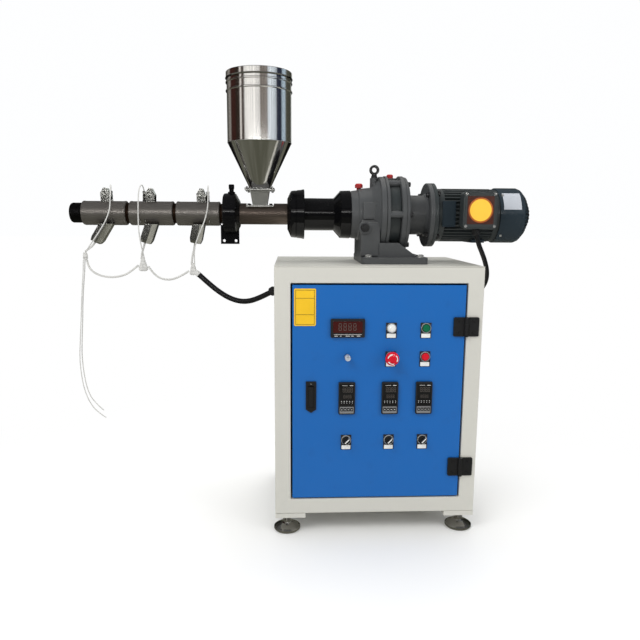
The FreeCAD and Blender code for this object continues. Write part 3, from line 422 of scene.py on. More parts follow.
def finish(name):
    """The material of that name: the frame's own where a record slot has the name, or else the finish."""
    label = name.replace(" ", "_")
    found = bpy.data.materials.get(label)
    if found:
        return found
    maker, rgb, *values = FINISHES[name]
    return maker(label, getattr(colours(), rgb) if isinstance(rgb, str) else rgb, *values)


# ---------------------------------------------------------------- modelling

def facing(start, direction):
    """Takes +Z to the direction, with its origin at start."""
    return Matrix.Translation(start) @ Vector(direction).to_track_quat("Z", "Y").to_matrix().to_4x4()


def edges_of(bm, verts, along=None, angle=0.5):
    """The sharp edges of the given corners, or only those that run along one axis."""
    chosen, verts = [], set(verts)
    for edge in bm.edges:
        if edge.verts[0] in verts and edge.verts[1] in verts and len(edge.link_faces) == 2:
            if edge.calc_face_angle(0.0) < angle:
                continue
            way = (edge.verts[1].co - edge.verts[0].co).normalized()
            if along is None or abs(way.dot(along)) > 0.99:
                chosen.append(edge)
    return chosen


def soften(bm, edges, width, segments=2):
    bmesh.ops.bevel(bm, geom=edges, offset=width, offset_type="OFFSET", affect="EDGES", segments=segments,
                    profile=0.5, material=-1, clamp_overlap=True)


def push(part, faces, way):
    """Draws the faces out along a vector in metres."""
    pushed = bmesh.ops.extrude_face_region(part, geom=faces)
    corners = [item for item in pushed["geom"] if isinstance(item, bmesh.types.BMVert)]
    bmesh.ops.translate(part, vec=way, verts=corners)


def add_box(bm, low, high, round_along=None, radius=0.0, edge=0.0, segments=4):
    """A block between two corners in millimetres, with its edges along one axis rounded first."""
    a, b = at(*low), at(*high)
    part = bmesh.new()
    place = Matrix.Translation((a + b) / 2) @ Matrix.Diagonal((*(b - a), 1.0))
    bmesh.ops.create_cube(part, size=1.0, matrix=place)
    if round_along is not None:
        soften(part, edges_of(part, part.verts, round_along), radius, segments)
    if edge:
        soften(part, edges_of(part, part.verts), edge)
    absorb(bm, part)


def add_frame(bm, low, high, side, edge):
    """A welded frame of square tube that fills the block between two corners in millimetres."""
    part = bmesh.new()
    rings = []
    for inset in (0.0, side):
        x0, x1, z0, z1 = low[0] + inset, high[0] - inset, low[2] + inset, high[2] - inset
        rings.append([part.verts.new(at(x, low[1], z)) for x, z in ((x0, z0), (x1, z0), (x1, z1), (x0, z1))])
    outer, inner = rings
    for i in range(4):
        j = (i + 1) % 4
        part.faces.new((outer[i], outer[j], inner[j], inner[i]))
    push(part, part.faces[:], BACK * (high[1] - low[1]) * MM)
    bmesh.ops.recalc_face_normals(part, faces=part.faces)
    soften(part, edges_of(part, part.verts), edge, 3)
    absorb(bm, part)


def add_rod(bm, start, direction, radius, length, sides=32, tip=None, edge=0.0):
    """A round bar or, with a tip radius, a cone; sizes in millimetres."""
    part = bmesh.new()
    place = facing(start, direction) @ Matrix.Translation((0, 0, length * MM / 2))
    bmesh.ops.create_cone(part, cap_ends=True, segments=sides, radius1=radius * MM,
                          radius2=(radius if tip is None else tip) * MM, depth=length * MM, matrix=place)
    if edge:
        soften(part, edges_of(part, part.verts, None, 0.7), edge * MM)
    absorb(bm, part)


def add_turned(bm, profile, start, direction, sides=None, edge=0.0):
    """Turns (station, radius) corners, in millimetres, about the line through start."""
    part = bmesh.new()
    place = facing(start, direction)
    verts = [part.verts.new(place @ Vector((radius * MM, 0, station * MM))) for station, radius in profile]
    edges = [part.edges.new(pair) for pair in zip(verts, verts[1:])]
    bmesh.ops.spin(part, geom=verts + edges, cent=start, axis=place.to_3x3() @ Vector((0, 0, 1)),
                   angle=2 * math.pi, steps=sides or sizes().turns, use_merge=True)
    bmesh.ops.remove_doubles(part, verts=part.verts, dist=1e-6)
    bmesh.ops.recalc_face_normals(part, faces=part.faces)
    if edge:
        soften(part, edges_of(part, part.verts, None, 0.45), edge)
    absorb(bm, part)


def add_slab(bm, corners, y0, y1, edge=0.0):
    """A plate with (x, z) corners in millimetres, from y0 back to y1."""
    part = bmesh.new()
    face = part.faces.new([part.verts.new(at(x, y0, z)) for x, z in corners])
    push(part, [face], BACK * (y1 - y0) * MM)
    bmesh.ops.recalc_face_normals(part, faces=part.faces)
    if edge:
        soften(part, edges_of(part, part.verts), edge)
    absorb(bm, part)


def add_bolt(bm, start, direction, flats, height, washer=True, socket=False):
    """A hexagon head on its washer, or a socket head; sizes in millimetres."""
    direction = Vector(direction)
    lift = 0.0
    if washer:
        add_rod(bm, start, direction, flats * 0.62, flats * 0.09, 24, edge=0.25)
        lift = flats * 0.09
    base = start + direction * lift * MM
    sides, radius = (24, flats * 0.55) if socket else (6, flats * 0.577)
    part = bmesh.new()
    bmesh.ops.create_cone(part, cap_ends=True, segments=sides, radius1=radius * MM, radius2=radius * MM,
                          depth=height * MM,
                          matrix=facing(base, direction) @ Matrix.Translation((0, 0, height * MM / 2)))
    if socket:
        top = [face for face in part.faces if face.normal.dot(direction) > 0.9]
        bmesh.ops.inset_region(part, faces=top, thickness=flats * 0.27 * MM)
        push(part, top, -direction * height * 0.6 * MM)
        bmesh.ops.delete(part, geom=top, context="FACES")
        absorb(bm, part)
    else:
        soften(part, edges_of(part, part.verts), flats * 0.05 * MM)
        absorb(bm, part)
        add_rod(bm, base + direction * height * MM, direction, flats * 0.36, flats * 0.04, 20, flats * 0.30)


def absorb(bm, part):
    """Adds one finished body's faces to the others of its piece."""
    spare = bpy.data.meshes.new("spare")
    part.to_mesh(spare)
    part.free()
    bm.from_mesh(spare)
    bpy.data.meshes.remove(spare)


def link(name, data, finish_name, body, slot, replaces=()):
    piece = bpy.data.objects.new(name, data)
    bpy.context.scene.collection.objects.link(piece)
    data.materials.append(finish(finish_name))
    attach(piece, body)
    if replaces:
        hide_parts(*replaces)
    return piece


def piece(name, bm, finish_name, slot, body="machine", replaces=(), weighted=True, sharp=0.6):
    """Closes a piece: shading, finish and body; the record slot is not used."""
    for face in bm.faces:
        face.smooth = True
    for edge in bm.edges:
        edge.smooth = not (len(edge.link_faces) == 2 and edge.calc_face_angle(0.0) > sharp)
    mesh = bpy.data.meshes.new(name)
    bm.to_mesh(mesh)
    bm.free()
    made = link(name, mesh, finish_name, body, slot, replaces)
    if weighted:
        modifier = made.modifiers.new("Even shading", "WEIGHTED_NORMAL")
        modifier.keep_sharp = True
    return made


def dress(finish_name, *nodes):
    """Gives carried-over bodies their finish."""
    for node in nodes:
        for slot in NODES[node].material_slots:
            slot.material = finish(finish_name)


def round_line(name, points, diameter, finish_name, slot, body="machine", replaces=()):
    """A smooth round cord along its route's points, given in millimetres."""
    data = bpy.data.curves.new(name, "CURVE")
    data.dimensions = "3D"
    data.bevel_depth = diameter * MM / 2
    data.bevel_resolution = 6
    data.use_fill_caps = True
    data.resolution_u = 10
    spline = data.splines.new("NURBS")
    spline.points.add(len(points) - 1)
    for point, place in zip(spline.points, points):
        point.co = (*at(*place), 1.0)
    spline.order_u = 3
    spline.use_endpoint_u = True
    return link(name, data, finish_name, body, slot, replaces)


# ---------------------------------------------------------------- camera and leads

class EXTRUDER_OT_camera(bpy.types.Operator):
    """Sets the camera a little above the cabinet's top, in front of the machine"""
    bl_idname = "extruder.camera"
    bl_label = "Camera"

    def execute(self, context):
        yaw, pitch, roll = (math.radians(turn) for turn in CAMERA_TURNS)
        forward = Vector((math.sin(yaw) * math.cos(pitch), math.cos(yaw) * math.cos(pitch), -math.sin(pitch)))
        level = Vector((math.cos(yaw), -math.sin(yaw), 0))
        above = level.cross(forward)
        right = level * math.cos(roll) + above * math.sin(roll)
        up = above * math.cos(roll) - level * math.sin(roll)
        data = bpy.data.cameras.new("camera")
        data.lens, data.sensor_width = context.scene.extruder_stage.lens, 36.0
        camera = bpy.data.objects.new("camera", data)
        turned = Matrix((right, up, -forward)).transposed().to_4x4()
        camera.matrix_world = Matrix.Translation(at(*CAMERA_PLACE)) @ turned
        context.scene.collection.objects.link(camera)
        context.scene.camera = camera
        return {"FINISHED"}


# Diameter, length in metres, exit, far end, stiffness, lay and the points of each route
ROUTES = {
    "heater_conduit": (16.0, 0.258, -1, "object", "stiff", "hanging",
                       [(-234, 160, 768), (-204, 155, 741), (-171, 148, 715), (-135, 139, 695),
                        (-96, 129, 687), (-55, 117, 697), (-14, 102, 720)]),
    "motor_cable": (14.0, 0.2065, 0, "object", "stiff", "loose",
                    [(596, 86, 894), (602, 86, 868), (616, 88, 840), (628, 92, 813), (637, 98, 785),
                     (639, 107, 757), (632, 117, 734), (620, 124, 720), (609, 128, 712)]),
    "harness_loop_1": (6.0, 0.190, -1, "object", "limp", "hanging",
                       [(-567, 160, 810.7), (-564, 159, 792), (-549, 158, 773), (-522, 158, 761),
                        (-490, 158, 758), (-458, 158, 764), (-433, 159, 779), (-414.3, 160, 795)]),
    "harness_loop_2": (6.0, 0.145, -1, "object", "limp", "hanging",
                       [(-385.2, 160, 792), (-369, 159, 768), (-345, 158, 753), (-317, 158, 751),
                        (-288, 158, 762), (-262.9, 160, 778)]),
    "probe_lead_1": (3.5, 0.264, 0, "object", "limp", "hanging",
                     [(-497, 200, 1016.8), (-496, 197, 1030), (-492, 181, 1035), (-489, 166, 1020),
                      (-488, 157, 994), (-490, 155, 963), (-498, 143, 932), (-514, 137, 903),
                      (-534, 137, 875), (-552, 142, 852), (-567, 157, 835.2)]),
    "probe_lead_2": (3.5, 0.262, 0, "object", "limp", "hanging",
                     [(-398, 200, 1016.8), (-399, 197, 1030), (-402, 183, 1036), (-405, 167, 1022),
                      (-406, 158, 997), (-407, 155, 967), (-407, 151, 937), (-405, 142, 908),
                      (-402, 138, 879), (-399, 142, 853), (-397, 152, 832), (-395, 157, 814.6)]),
    "probe_lead_3": (3.5, 0.283, 0, "object", "limp", "hanging",
                     [(-206, 200, 1016.8), (-205, 197, 1030), (-202, 182, 1035), (-200, 166, 1020),
                      (-200, 158, 994), (-202, 156, 964), (-208, 144, 934), (-219, 137, 906),
                      (-232, 138, 877), (-241, 141, 850), (-245, 152, 824), (-245, 157, 797.6)]),
    "heater_lead_1": (6.0, 0.0428, 0, "object", "limp", "hanging",
                      [(-540.6, 164, 864), (-549, 164, 852), (-561, 164, 844), (-572, 163.4, 835.6)]),
    "heater_lead_2": (6.0, 0.0503, 0, "object", "limp", "hanging",
                      [(-392.8, 164, 862.2), (-398, 164, 847), (-403, 163, 831), (-405, 162, 813.6)]),
    "heater_lead_3": (6.0, 0.066, 0, "object", "limp", "hanging",
                      [(-243.4, 164, 861.2), (-247, 164, 841), (-253, 163, 820), (-255, 162, 796.5)]),
    "tail_lead_1": (3.0, 0.4885, 0, "bare", "limp", "hanging",
                    [(-573.5, 162.5, 810.6), (-575, 162, 786), (-580, 161, 742), (-586, 161, 690),
                     (-590, 162, 634), (-595, 162, 577), (-599, 161, 519), (-596, 160, 462),
                     (-588, 159, 408), (-570, 158, 368), (-540, 158, 340)]),
    "tail_lead_2": (3.0, 0.517, 0, "bare", "limp", "hanging",
                    [(-576.8, 157.5, 810.6), (-578, 157, 785), (-583, 156, 740), (-588, 155, 686),
                     (-593, 155, 629), (-599, 156, 571), (-604, 155, 514), (-602, 154, 457),
                     (-594, 153, 404), (-577, 153, 360), (-556, 154, 334), (-533, 155, 317)]),
}


class EXTRUDER_OT_leads(bpy.types.Operator):
    """Lays the cables, the heater leads and the probe leads"""
    bl_idname = "extruder.leads"
    bl_label = "Leads"

    def execute(self, context):
        for name, (diameter, length, first, far_end, stiffness, lay, points) in ROUTES.items():
            black = name in ("heater_conduit", "motor_cable")
            cord = round_line(name + "_line", points, diameter, "black sleeve" if black else "glass braid",
                              "cable_black" if black else "lead_white", replaces=(name,))
            tuple(at(*points[first]))
        return {"FINISHED"}


class EXTRUDER_OT_joints_taped(bpy.types.Operator):
    """Winds tape round the places where the leads meet"""
    bl_idname = "extruder.joints_taped"
    bl_label = "Taped joints"

    def execute(self, context):
        bm = bmesh.new()
        joints = ((-571, 822, 6, 8, 24), (-400, 798, 5, 18, 42), (-250, 784, 5, 14, 38))
        for x, z, top, foot, height in joints:
            part = bmesh.new()
            bmesh.ops.create_icosphere(part, subdivisions=4, radius=1.0)
            for vert in part.verts:
                a, b, c = (math.copysign(abs(value) ** 0.62, value) for value in vert.co)
                half = top + (foot - top) * (0.5 - 0.5 * c) ** 1.4
                crease = 1.0 + 0.05 * math.sin(19 * c + 3 * a) + 0.03 * math.sin(11 * a + 7 * b)
                vert.co = at(x + a * half * crease, 160 + b * (4.5 + 1.5 * c) * crease, z + c * height / 2)
            absorb(bm, part)
        end, way = at(-234, 160, 768), Vector((-30, 5, 27)).normalized()
        add_turned(bm, [(-2, 8.6), (1, 9.0), (4, 8.2), (9, 7.2), (15, 5.4), (20, 4.5), (20, 0)], end, way, 32)
        piece("taped_joints", bm, "glass tape", "wrap_tape", replaces=("lead_wraps",), weighted=False,
              sharp=1.2)
        return {"FINISHED"}


# ---------------------------------------------------------------- cabinet

class EXTRUDER_OT_cabinet(bpy.types.Operator):
    """Builds the frame of rounded tubes, its sheets, and the top plate"""
    bl_idname = "extruder.cabinet"
    bl_label = "Cabinet"

    def execute(self, context):
        edge = sizes().tube_edge
        w, d, side, low, high = 600.0, 450.0, 46.0, 64.0, 804.0
        bm = bmesh.new()
        for y in (0.0, d - side):
            add_frame(bm, (0.0, y, low), (w, y + side, high), side, edge)
        for x in (0.0, w - side):
            for z in (low, high - side):
                add_box(bm, (x, side, z), (x + side, d - side, z + side), BACK, edge, segments=3)
        piece("cabinet_frame", bm, "cabinet coat", "cabinet_paint", replaces=("frame_posts", "frame_rails"))
        bm = bmesh.new()
        add_box(bm, (0, 0, high), (w, d, high + 2), UP, 0.003, 0.0006)
        piece("top_sheet", bm, "cabinet coat", "cabinet_paint", replaces=("top_plate",))
        bm = bmesh.new()
        screw, head, inset = 6.0, 1.6, 3.0
        for z in (low + side, high - side):
            for y in (side + 1, d - side - 1):
                add_rod(bm, at(side, y, z), RIGHT, 1.6, w - 2 * side, 8)
        for x, way in ((inset, LEFT), (w - inset, RIGHT)):
            for z in (low + side + 14, (low + high) / 2, high - side - 14):
                for y in (side + 12, d - side - 12):
                    add_bolt(bm, at(x, y, z), way, screw, head, False)
        for x in (side + 14, w / 2, w - side - 14):
            for z in (low + side + 14, high - side - 14):
                add_bolt(bm, at(x, d - inset, z), BACK, screw, head, False)
        piece("sheet_screws", bm, "bright steel", "foot_chrome")
        dress("cabinet coat", "cabinet_panels", "corner_plates")
        dress("foot nickel", "levelling_feet")
        return {"FINISHED"}


class EXTRUDER_OT_door(bpy.types.Operator):
    """Coats the door and adds its seal, its hinge screws and its blank yellow plate"""
    bl_idname = "extruder.door"
    bl_label = "Door"

    def execute(self, context):
        dress("door coat", "door")
        dress("black casting", "hinge_door_leaves", "hinge_frame_leaves", "latch_dish", "latch_handle")
        for side, body in ((-1, "door"), (1, "machine")):
            bm = bmesh.new()
            for z in HINGE_ZS:
                for dz in (-17, 17):
                    start = at(HINGE_X + side * 22, -5, z + dz)
                    add_rod(bm, start, FRONT, 4.6, 0.5, 24)
                    add_bolt(bm, start, FRONT, 6.0, 2.4, False, socket=True)
            piece("hinge_screws_" + body, bm, "black casting", "hinge_black", body)
        bm = bmesh.new()
        add_box(bm, (56, -0.9, 636), (118, 0.0, 743), FRONT, 0.004, 0.0002)
        piece("yellow_plate", bm, "plate yellow", "door_paint", "door")
        bm = bmesh.new()
        for low, high in (((60, -1.15, 640), (114, -0.9, 641)), ((60, -1.15, 738), (114, -0.9, 739)),
                          ((60, -1.15, 640), (61, -0.9, 739)), ((113, -1.15, 640), (114, -0.9, 739)),
                          ((60, -1.15, 715), (114, -0.9, 716)), ((60, -1.15, 668), (114, -0.9, 669))):
            add_box(bm, low, high)
        piece("yellow_plate_lines", bm, "knob black", "door_paint", "door")
        bm = bmesh.new()
        add_rod(bm, at(105, -1.5, 400), FRONT, 3.6, 1.2, 24, edge=0.2)
        add_rod(bm, at(105, -4.0, 466), FRONT, 1.4, 0.7, 16)
        piece("latch_lock", bm, "bright steel", "latch_black", "latch_handle")
        bm = bmesh.new()
        for low, high in (((53, 20.3, 117), (58, 23.5, 751)), ((542, 20.3, 117), (547, 23.5, 751)),
                          ((58, 20.3, 117), (542, 23.5, 122)), ((58, 20.3, 746), (542, 23.5, 751))):
            add_box(bm, low, high)
        piece("door_seal", bm, "nylon black", "gland_black", "door")
        return {"FINISHED"}


def digit_row(bm, x, y, z, size, count, pitch):
    """A row of unlit segment dashes, all alike, as a display shows when it is off."""
    for i in range(count):
        left = x + i * pitch
        for dz in (0.0, size * 0.5, size):
            add_box(bm, (left, y - 0.15, z + dz), (left + size * 0.42, y, z + dz + size * 0.08))
        for dx in (-0.02, 0.36):
            for low, high in ((0.12, 0.44), (0.60, 0.92)):
                add_box(bm, (left + dx * size, y - 0.15, z + size * low),
                        (left + (dx + 0.08) * size, y, z + size * high))


class EXTRUDER_OT_instruments(bpy.types.Operator):
    """Fits the controllers' windows, keys and lamps, and the panel meter's window"""
    bl_idname = "extruder.instruments"
    bl_label = "Instruments"

    def execute(self, context):
        dress("instrument case", "temperature_controllers", "panel_meter")
        glass, keys, dashes, marks, rims = (bmesh.new() for _ in range(5))
        for x in COLUMNS:
            z = CONTROLLER_Z
            add_box(glass, (x - 20.5, -8.7, z - 22), (x + 20.5, -7.6, z + 43), FRONT, 0.0016, 0.0003)
            digit_row(dashes, x - 12, -8.75, z + 19, 13.0, 4, 7.6)
            digit_row(dashes, x - 10, -8.75, z + 1, 9.0, 4, 6.2)
            add_box(marks, (x - 14, -8.95, z + 38.4), (x + 2, -8.7, z + 39.2))
            add_box(marks, (x + 8, -8.95, z + 38.0), (x + 18, -8.7, z + 39.6))
            for i in range(5):
                add_box(marks, (x - 17 + i * 8, -8.95, z - 9), (x - 14.4 + i * 8, -8.7, z - 7.6))
                add_rod(marks, at(x - 15.7 + i * 8, -8.7, z - 13), FRONT, 0.9, 0.3, 12)
            add_box(rims, (x - 20.5, -8.45, z - 45), (x + 20.5, -7.6, z - 25), FRONT, 0.0016, 0.0003)
            for i in range(4):
                left = x - 18.6 + i * 9.6
                add_box(keys, (left, -9.6, z - 38), (left + 8.2, -8.3, z - 28.5), FRONT, 0.0016, 0.0004)
                add_box(marks, (left + 2.4, -9.85, z - 34), (left + 5.8, -9.6, z - 32.6))
        left, z = COLUMNS[0], LAMP_Z
        window = bmesh.new()
        add_box(window, (left - 42, -8.9, z - 13), (left + 42, -7.6, z + 20), FRONT, 0.002, 0.0003)
        piece("meter_window", window, "red window", "instrument_black", "door")
        digit_row(dashes, left - 26, -8.95, z - 6, 19.0, 4, 14.0)
        add_box(marks, (left - 40, -8.3, z - 18.2), (left + 40, -8.0, z - 17.4))
        for i, width in enumerate((9, 4, 12, 7, 10)):
            start = left - 38 + i * 16
            add_box(marks, (start, -8.3, z - 23.0), (start + width, -8.0, z - 21.4))
        piece("controller_windows", glass, "dark window", "instrument_black", "door")
        piece("controller_key_fields", rims, "key grey", "instrument_black", "door")
        piece("controller_keys", keys, "instrument case", "instrument_black", "door")
        piece("display_dashes", dashes, "dim segment", "instrument_black", "door")
        piece("instrument_marks", marks, "print white", "instrument_black", "door")
        return {"FINISHED"}


class EXTRUDER_OT_switches(bpy.types.Operator):
    """Fits the switches' rings, blank tags, caps, arrows and pointers"""
    bl_idname = "extruder.switches"
    bl_label = "Switches"

    def execute(self, context):
        dress("switch black", "switch_collars")
        dress("white lens", "power_lamp")
        dress("green cap", "start_button")
        dress("red cap", "stop_button", "estop_button")
        dress("knob black", "selector_knob_1", "selector_knob_2", "selector_knob_3")
        rings, tags = bmesh.new(), bmesh.new()
        places = [(COLUMNS[1], LAMP_Z), (COLUMNS[2], LAMP_Z), (COLUMNS[2], STOP_Z), (COLUMNS[1], STOP_Z)]
        places += [(x, SELECTOR_Z) for x in COLUMNS]
        inner = 12.2
        ring = [(0, inner), (6.25, inner), (6.6, inner + 0.5), (6.6, 13.4), (5.6, 14.35), (0.0, 14.5),
                (0, inner)]
        for x, z in places:
            add_turned(rings, ring, at(x, 0, z), FRONT, 48)
            add_box(tags, (x - 13, -2.4, z - 28.5), (x + 13, -1.5, z - 16.5), FRONT, 0.0012, 0.0002)
        piece("switch_rings", rings, "bright steel", "switch_black", "door")
        piece("blank_tags", tags, "tag white", "switch_black", "door")
        bm = bmesh.new()
        x, z = COLUMNS[1], STOP_Z
        for i in range(3):
            arc = bmesh.new()
            start = math.radians(120 * i)
            first = [arc.verts.new(at(x + r * math.sin(start), -38.4 - (16 - r) * 0.42,
                                      z + r * math.cos(start))) for r in (12.6, 15.0)]
            edge = arc.edges.new(first)
            bmesh.ops.spin(arc, geom=first + [edge], cent=at(x, -38, z), axis=FRONT, angle=math.radians(78),
                           steps=14)
            bmesh.ops.recalc_face_normals(arc, faces=arc.faces)
            bmesh.ops.solidify(arc, geom=arc.faces[:], thickness=0.0005)
            absorb(bm, arc)
            tip = math.radians(120 * i - 14)
            turn = Matrix.Translation(at(x + 13.8 * math.sin(tip), -39.2, z + 13.8 * math.cos(tip)))
            turn = turn @ Matrix.Rotation(math.pi / 2, 4, "X") @ Matrix.Rotation(tip + math.pi / 2, 4, "Z")
            head = bmesh.new()
            bmesh.ops.create_cone(head, cap_ends=True, segments=3, radius1=2.9 * MM, radius2=2.9 * MM,
                                  depth=0.8 * MM, matrix=turn)
            absorb(bm, head)
        piece("stop_arrows", bm, "tag white", "button_red", "estop_button", weighted=False)
        for i, x in enumerate(COLUMNS):
            bm = bmesh.new()
            turn = Matrix.Translation(at(x, 0, SELECTOR_Z)) @ Matrix.Rotation(math.radians(45), 4, FRONT)
            for middle, block, edge in (((0.002, -0.02125, 0), (0.0165, 0.0006, 0.0030), 0.0001),
                                        ((0.0112, -0.0152, 0), (0.0006, 0.0108, 0.0030), 0.0)):
                part = bmesh.new()
                place = turn @ Matrix.Translation(middle) @ Matrix.Diagonal((*block, 1.0))
                bmesh.ops.create_cube(part, size=1.0, matrix=place)
                if edge:
                    soften(part, edges_of(part, part.verts), edge)
                absorb(bm, part)
            piece("pointer_%d" % (i + 1), bm, "tag white", "knob_black", "selector_knob_%d" % (i + 1))
        bm = bmesh.new()
        x, z = COLUMNS[0], STOP_Z
        add_turned(bm, [(5, 0), (5, 7.4), (5.6, 8.0), (25.6, 8.0), (26.8, 7.0), (27, 6.2), (26.6, 5.4),
                        (26.6, 0)], at(x, 0, z), FRONT, 64)
        ridges = 40
        for i in range(ridges):
            angle = 2 * math.pi * i / ridges
            add_rod(bm, at(x + 7.9 * math.cos(angle), -8.5, z + 7.9 * math.sin(angle)), FRONT, 0.42, 14, 6)
        piece("speed_knob_turned", bm, "spun aluminium", "knob_silver", "speed_knob", ("speed_knob",),
              weighted=False)
        bm = bmesh.new()
        add_box(bm, (x - 0.5, -27.4, z + 2), (x + 0.5, -26.5, z + 7.6))
        piece("speed_knob_mark", bm, "knob black", "knob_silver", "speed_knob")
        return {"FINISHED"}


# ---------------------------------------------------------------- drive

def around(radius, count, first=0.0, x=0.0):
    """Points on a circle about the screw line at one station, with the angle of each."""
    for i in range(count):
        angle = math.radians(first + 360.0 * i / count)
        yield angle, at(x, SCREW_Y - radius * math.cos(angle), SCREW_Z + radius * math.sin(angle))


class EXTRUDER_OT_gearbox(bpy.types.Operator):
    """Casts the gearbox with its foot and ribs, its rings, tie bars and bolts"""
    bl_idname = "extruder.gearbox"
    bl_label = "Gearbox"

    def execute(self, context):
        cast = sizes().cast_edge
        bm = bmesh.new()
        add_turned(bm, [(229, 0), (229, 70), (234, 72), (249, 74), (253, 78), (291, 82), (303, 92),
                        (314, 105), (314, 113), (316, 115), (329, 115), (329, 113), (331, 113), (331, 117),
                        (338, 117), (340, 115), (340, 0)], SCREW_LINE, RIGHT, edge=cast * 0.5)
        add_box(bm, (255, 78, 806), (453, 322, 826), UP, 0.010, cast)
        add_box(bm, (255, 105, 824), (312, 295, 929), RIGHT, 0.008, cast)
        for y in (105, 281):
            add_slab(bm, [(305, 822), (431, 822), (368, 868), (305, 868)], y, y + 14, cast)
        add_rod(bm, at(*LEVEL_PLUG), BACK, 18, 30, 48, edge=1.2)
        add_rod(bm, at(303, SCREW_Y, 1021), UP, 13, 41, 40, edge=1.2)
        add_box(bm, (257, 112, 900), (309, 288, 934), RIGHT, 0.008, cast)
        for low, high in (((262, 114, 938), (311, 130, 987)), ((257, 196, 1020), (262, 204, 1030))):
            add_box(bm, low, high, FRONT, 0.004, cast)
        piece("gearbox_casting", bm, "gearbox enamel", "gear_paint", replaces=("gearbox_housing",))
        bm = bmesh.new()
        add_turned(bm, [(340, 0), (340, 98), (342, 100), (372, 100), (374, 98), (374, 0)], SCREW_LINE, RIGHT,
                   edge=cast * 0.4)
        add_box(bm, (340, 164, 1000), (374, 236, 1060), RIGHT, 0.003, cast)
        # The drum in the recess takes the darker motor enamel: painted shade of the recess, whose coat is
        # like the gearbox enamel
        piece("pin_ring", bm, "motor enamel", "gear_paint", replaces=("pinwheel_ring",))
        bm = bmesh.new()
        for _, place in around(106, 6, 0, 339):
            add_rod(bm, place, RIGHT, 9.5, 36, 28, edge=0.6)
        piece("tie_bars", bm, "gearbox enamel", "gear_paint")
        bm = bmesh.new()
        add_turned(bm, [(374, 0), (374, 115), (376, 117), (387, 117), (387, 114), (389, 114), (389, 115),
                        (397, 113), (400, 107), (400, 68), (408, 60), (456, 60), (462, 66), (462, 95),
                        (464, 97), (475, 97), (476, 96), (476, 0)], SCREW_LINE, RIGHT, edge=cast * 0.5)
        piece("input_casting", bm, "gearbox enamel", "gear_paint", replaces=("input_cover",))
        bm = bmesh.new()
        for radius, count, first, x, way, flats in ((103.5, 6, 0, 398, RIGHT, 13), (84, 4, 45, 462, LEFT, 14),
                                                    (90, 4, 45, 487, RIGHT, 13)):
            for _, place in around(radius, count, first, x):
                add_bolt(bm, place, way, flats, 7)
        add_bolt(bm, at(*LEVEL_PLUG), FRONT, 21, 7)
        piece("casting_bolts", bm, "black casting", "gear_paint")
        bm = bmesh.new()
        flats = sizes().base_bolt / MM
        for x in (276, 432):
            for y in (92, 308):
                add_bolt(bm, at(x, y, 826), UP, flats, flats * 0.38)
        piece("base_bolts", bm, "bright steel", "foot_chrome")
        dress("plug red", "oil_plugs")
        dress("black casting", "lifting_eye")
        return {"FINISHED"}


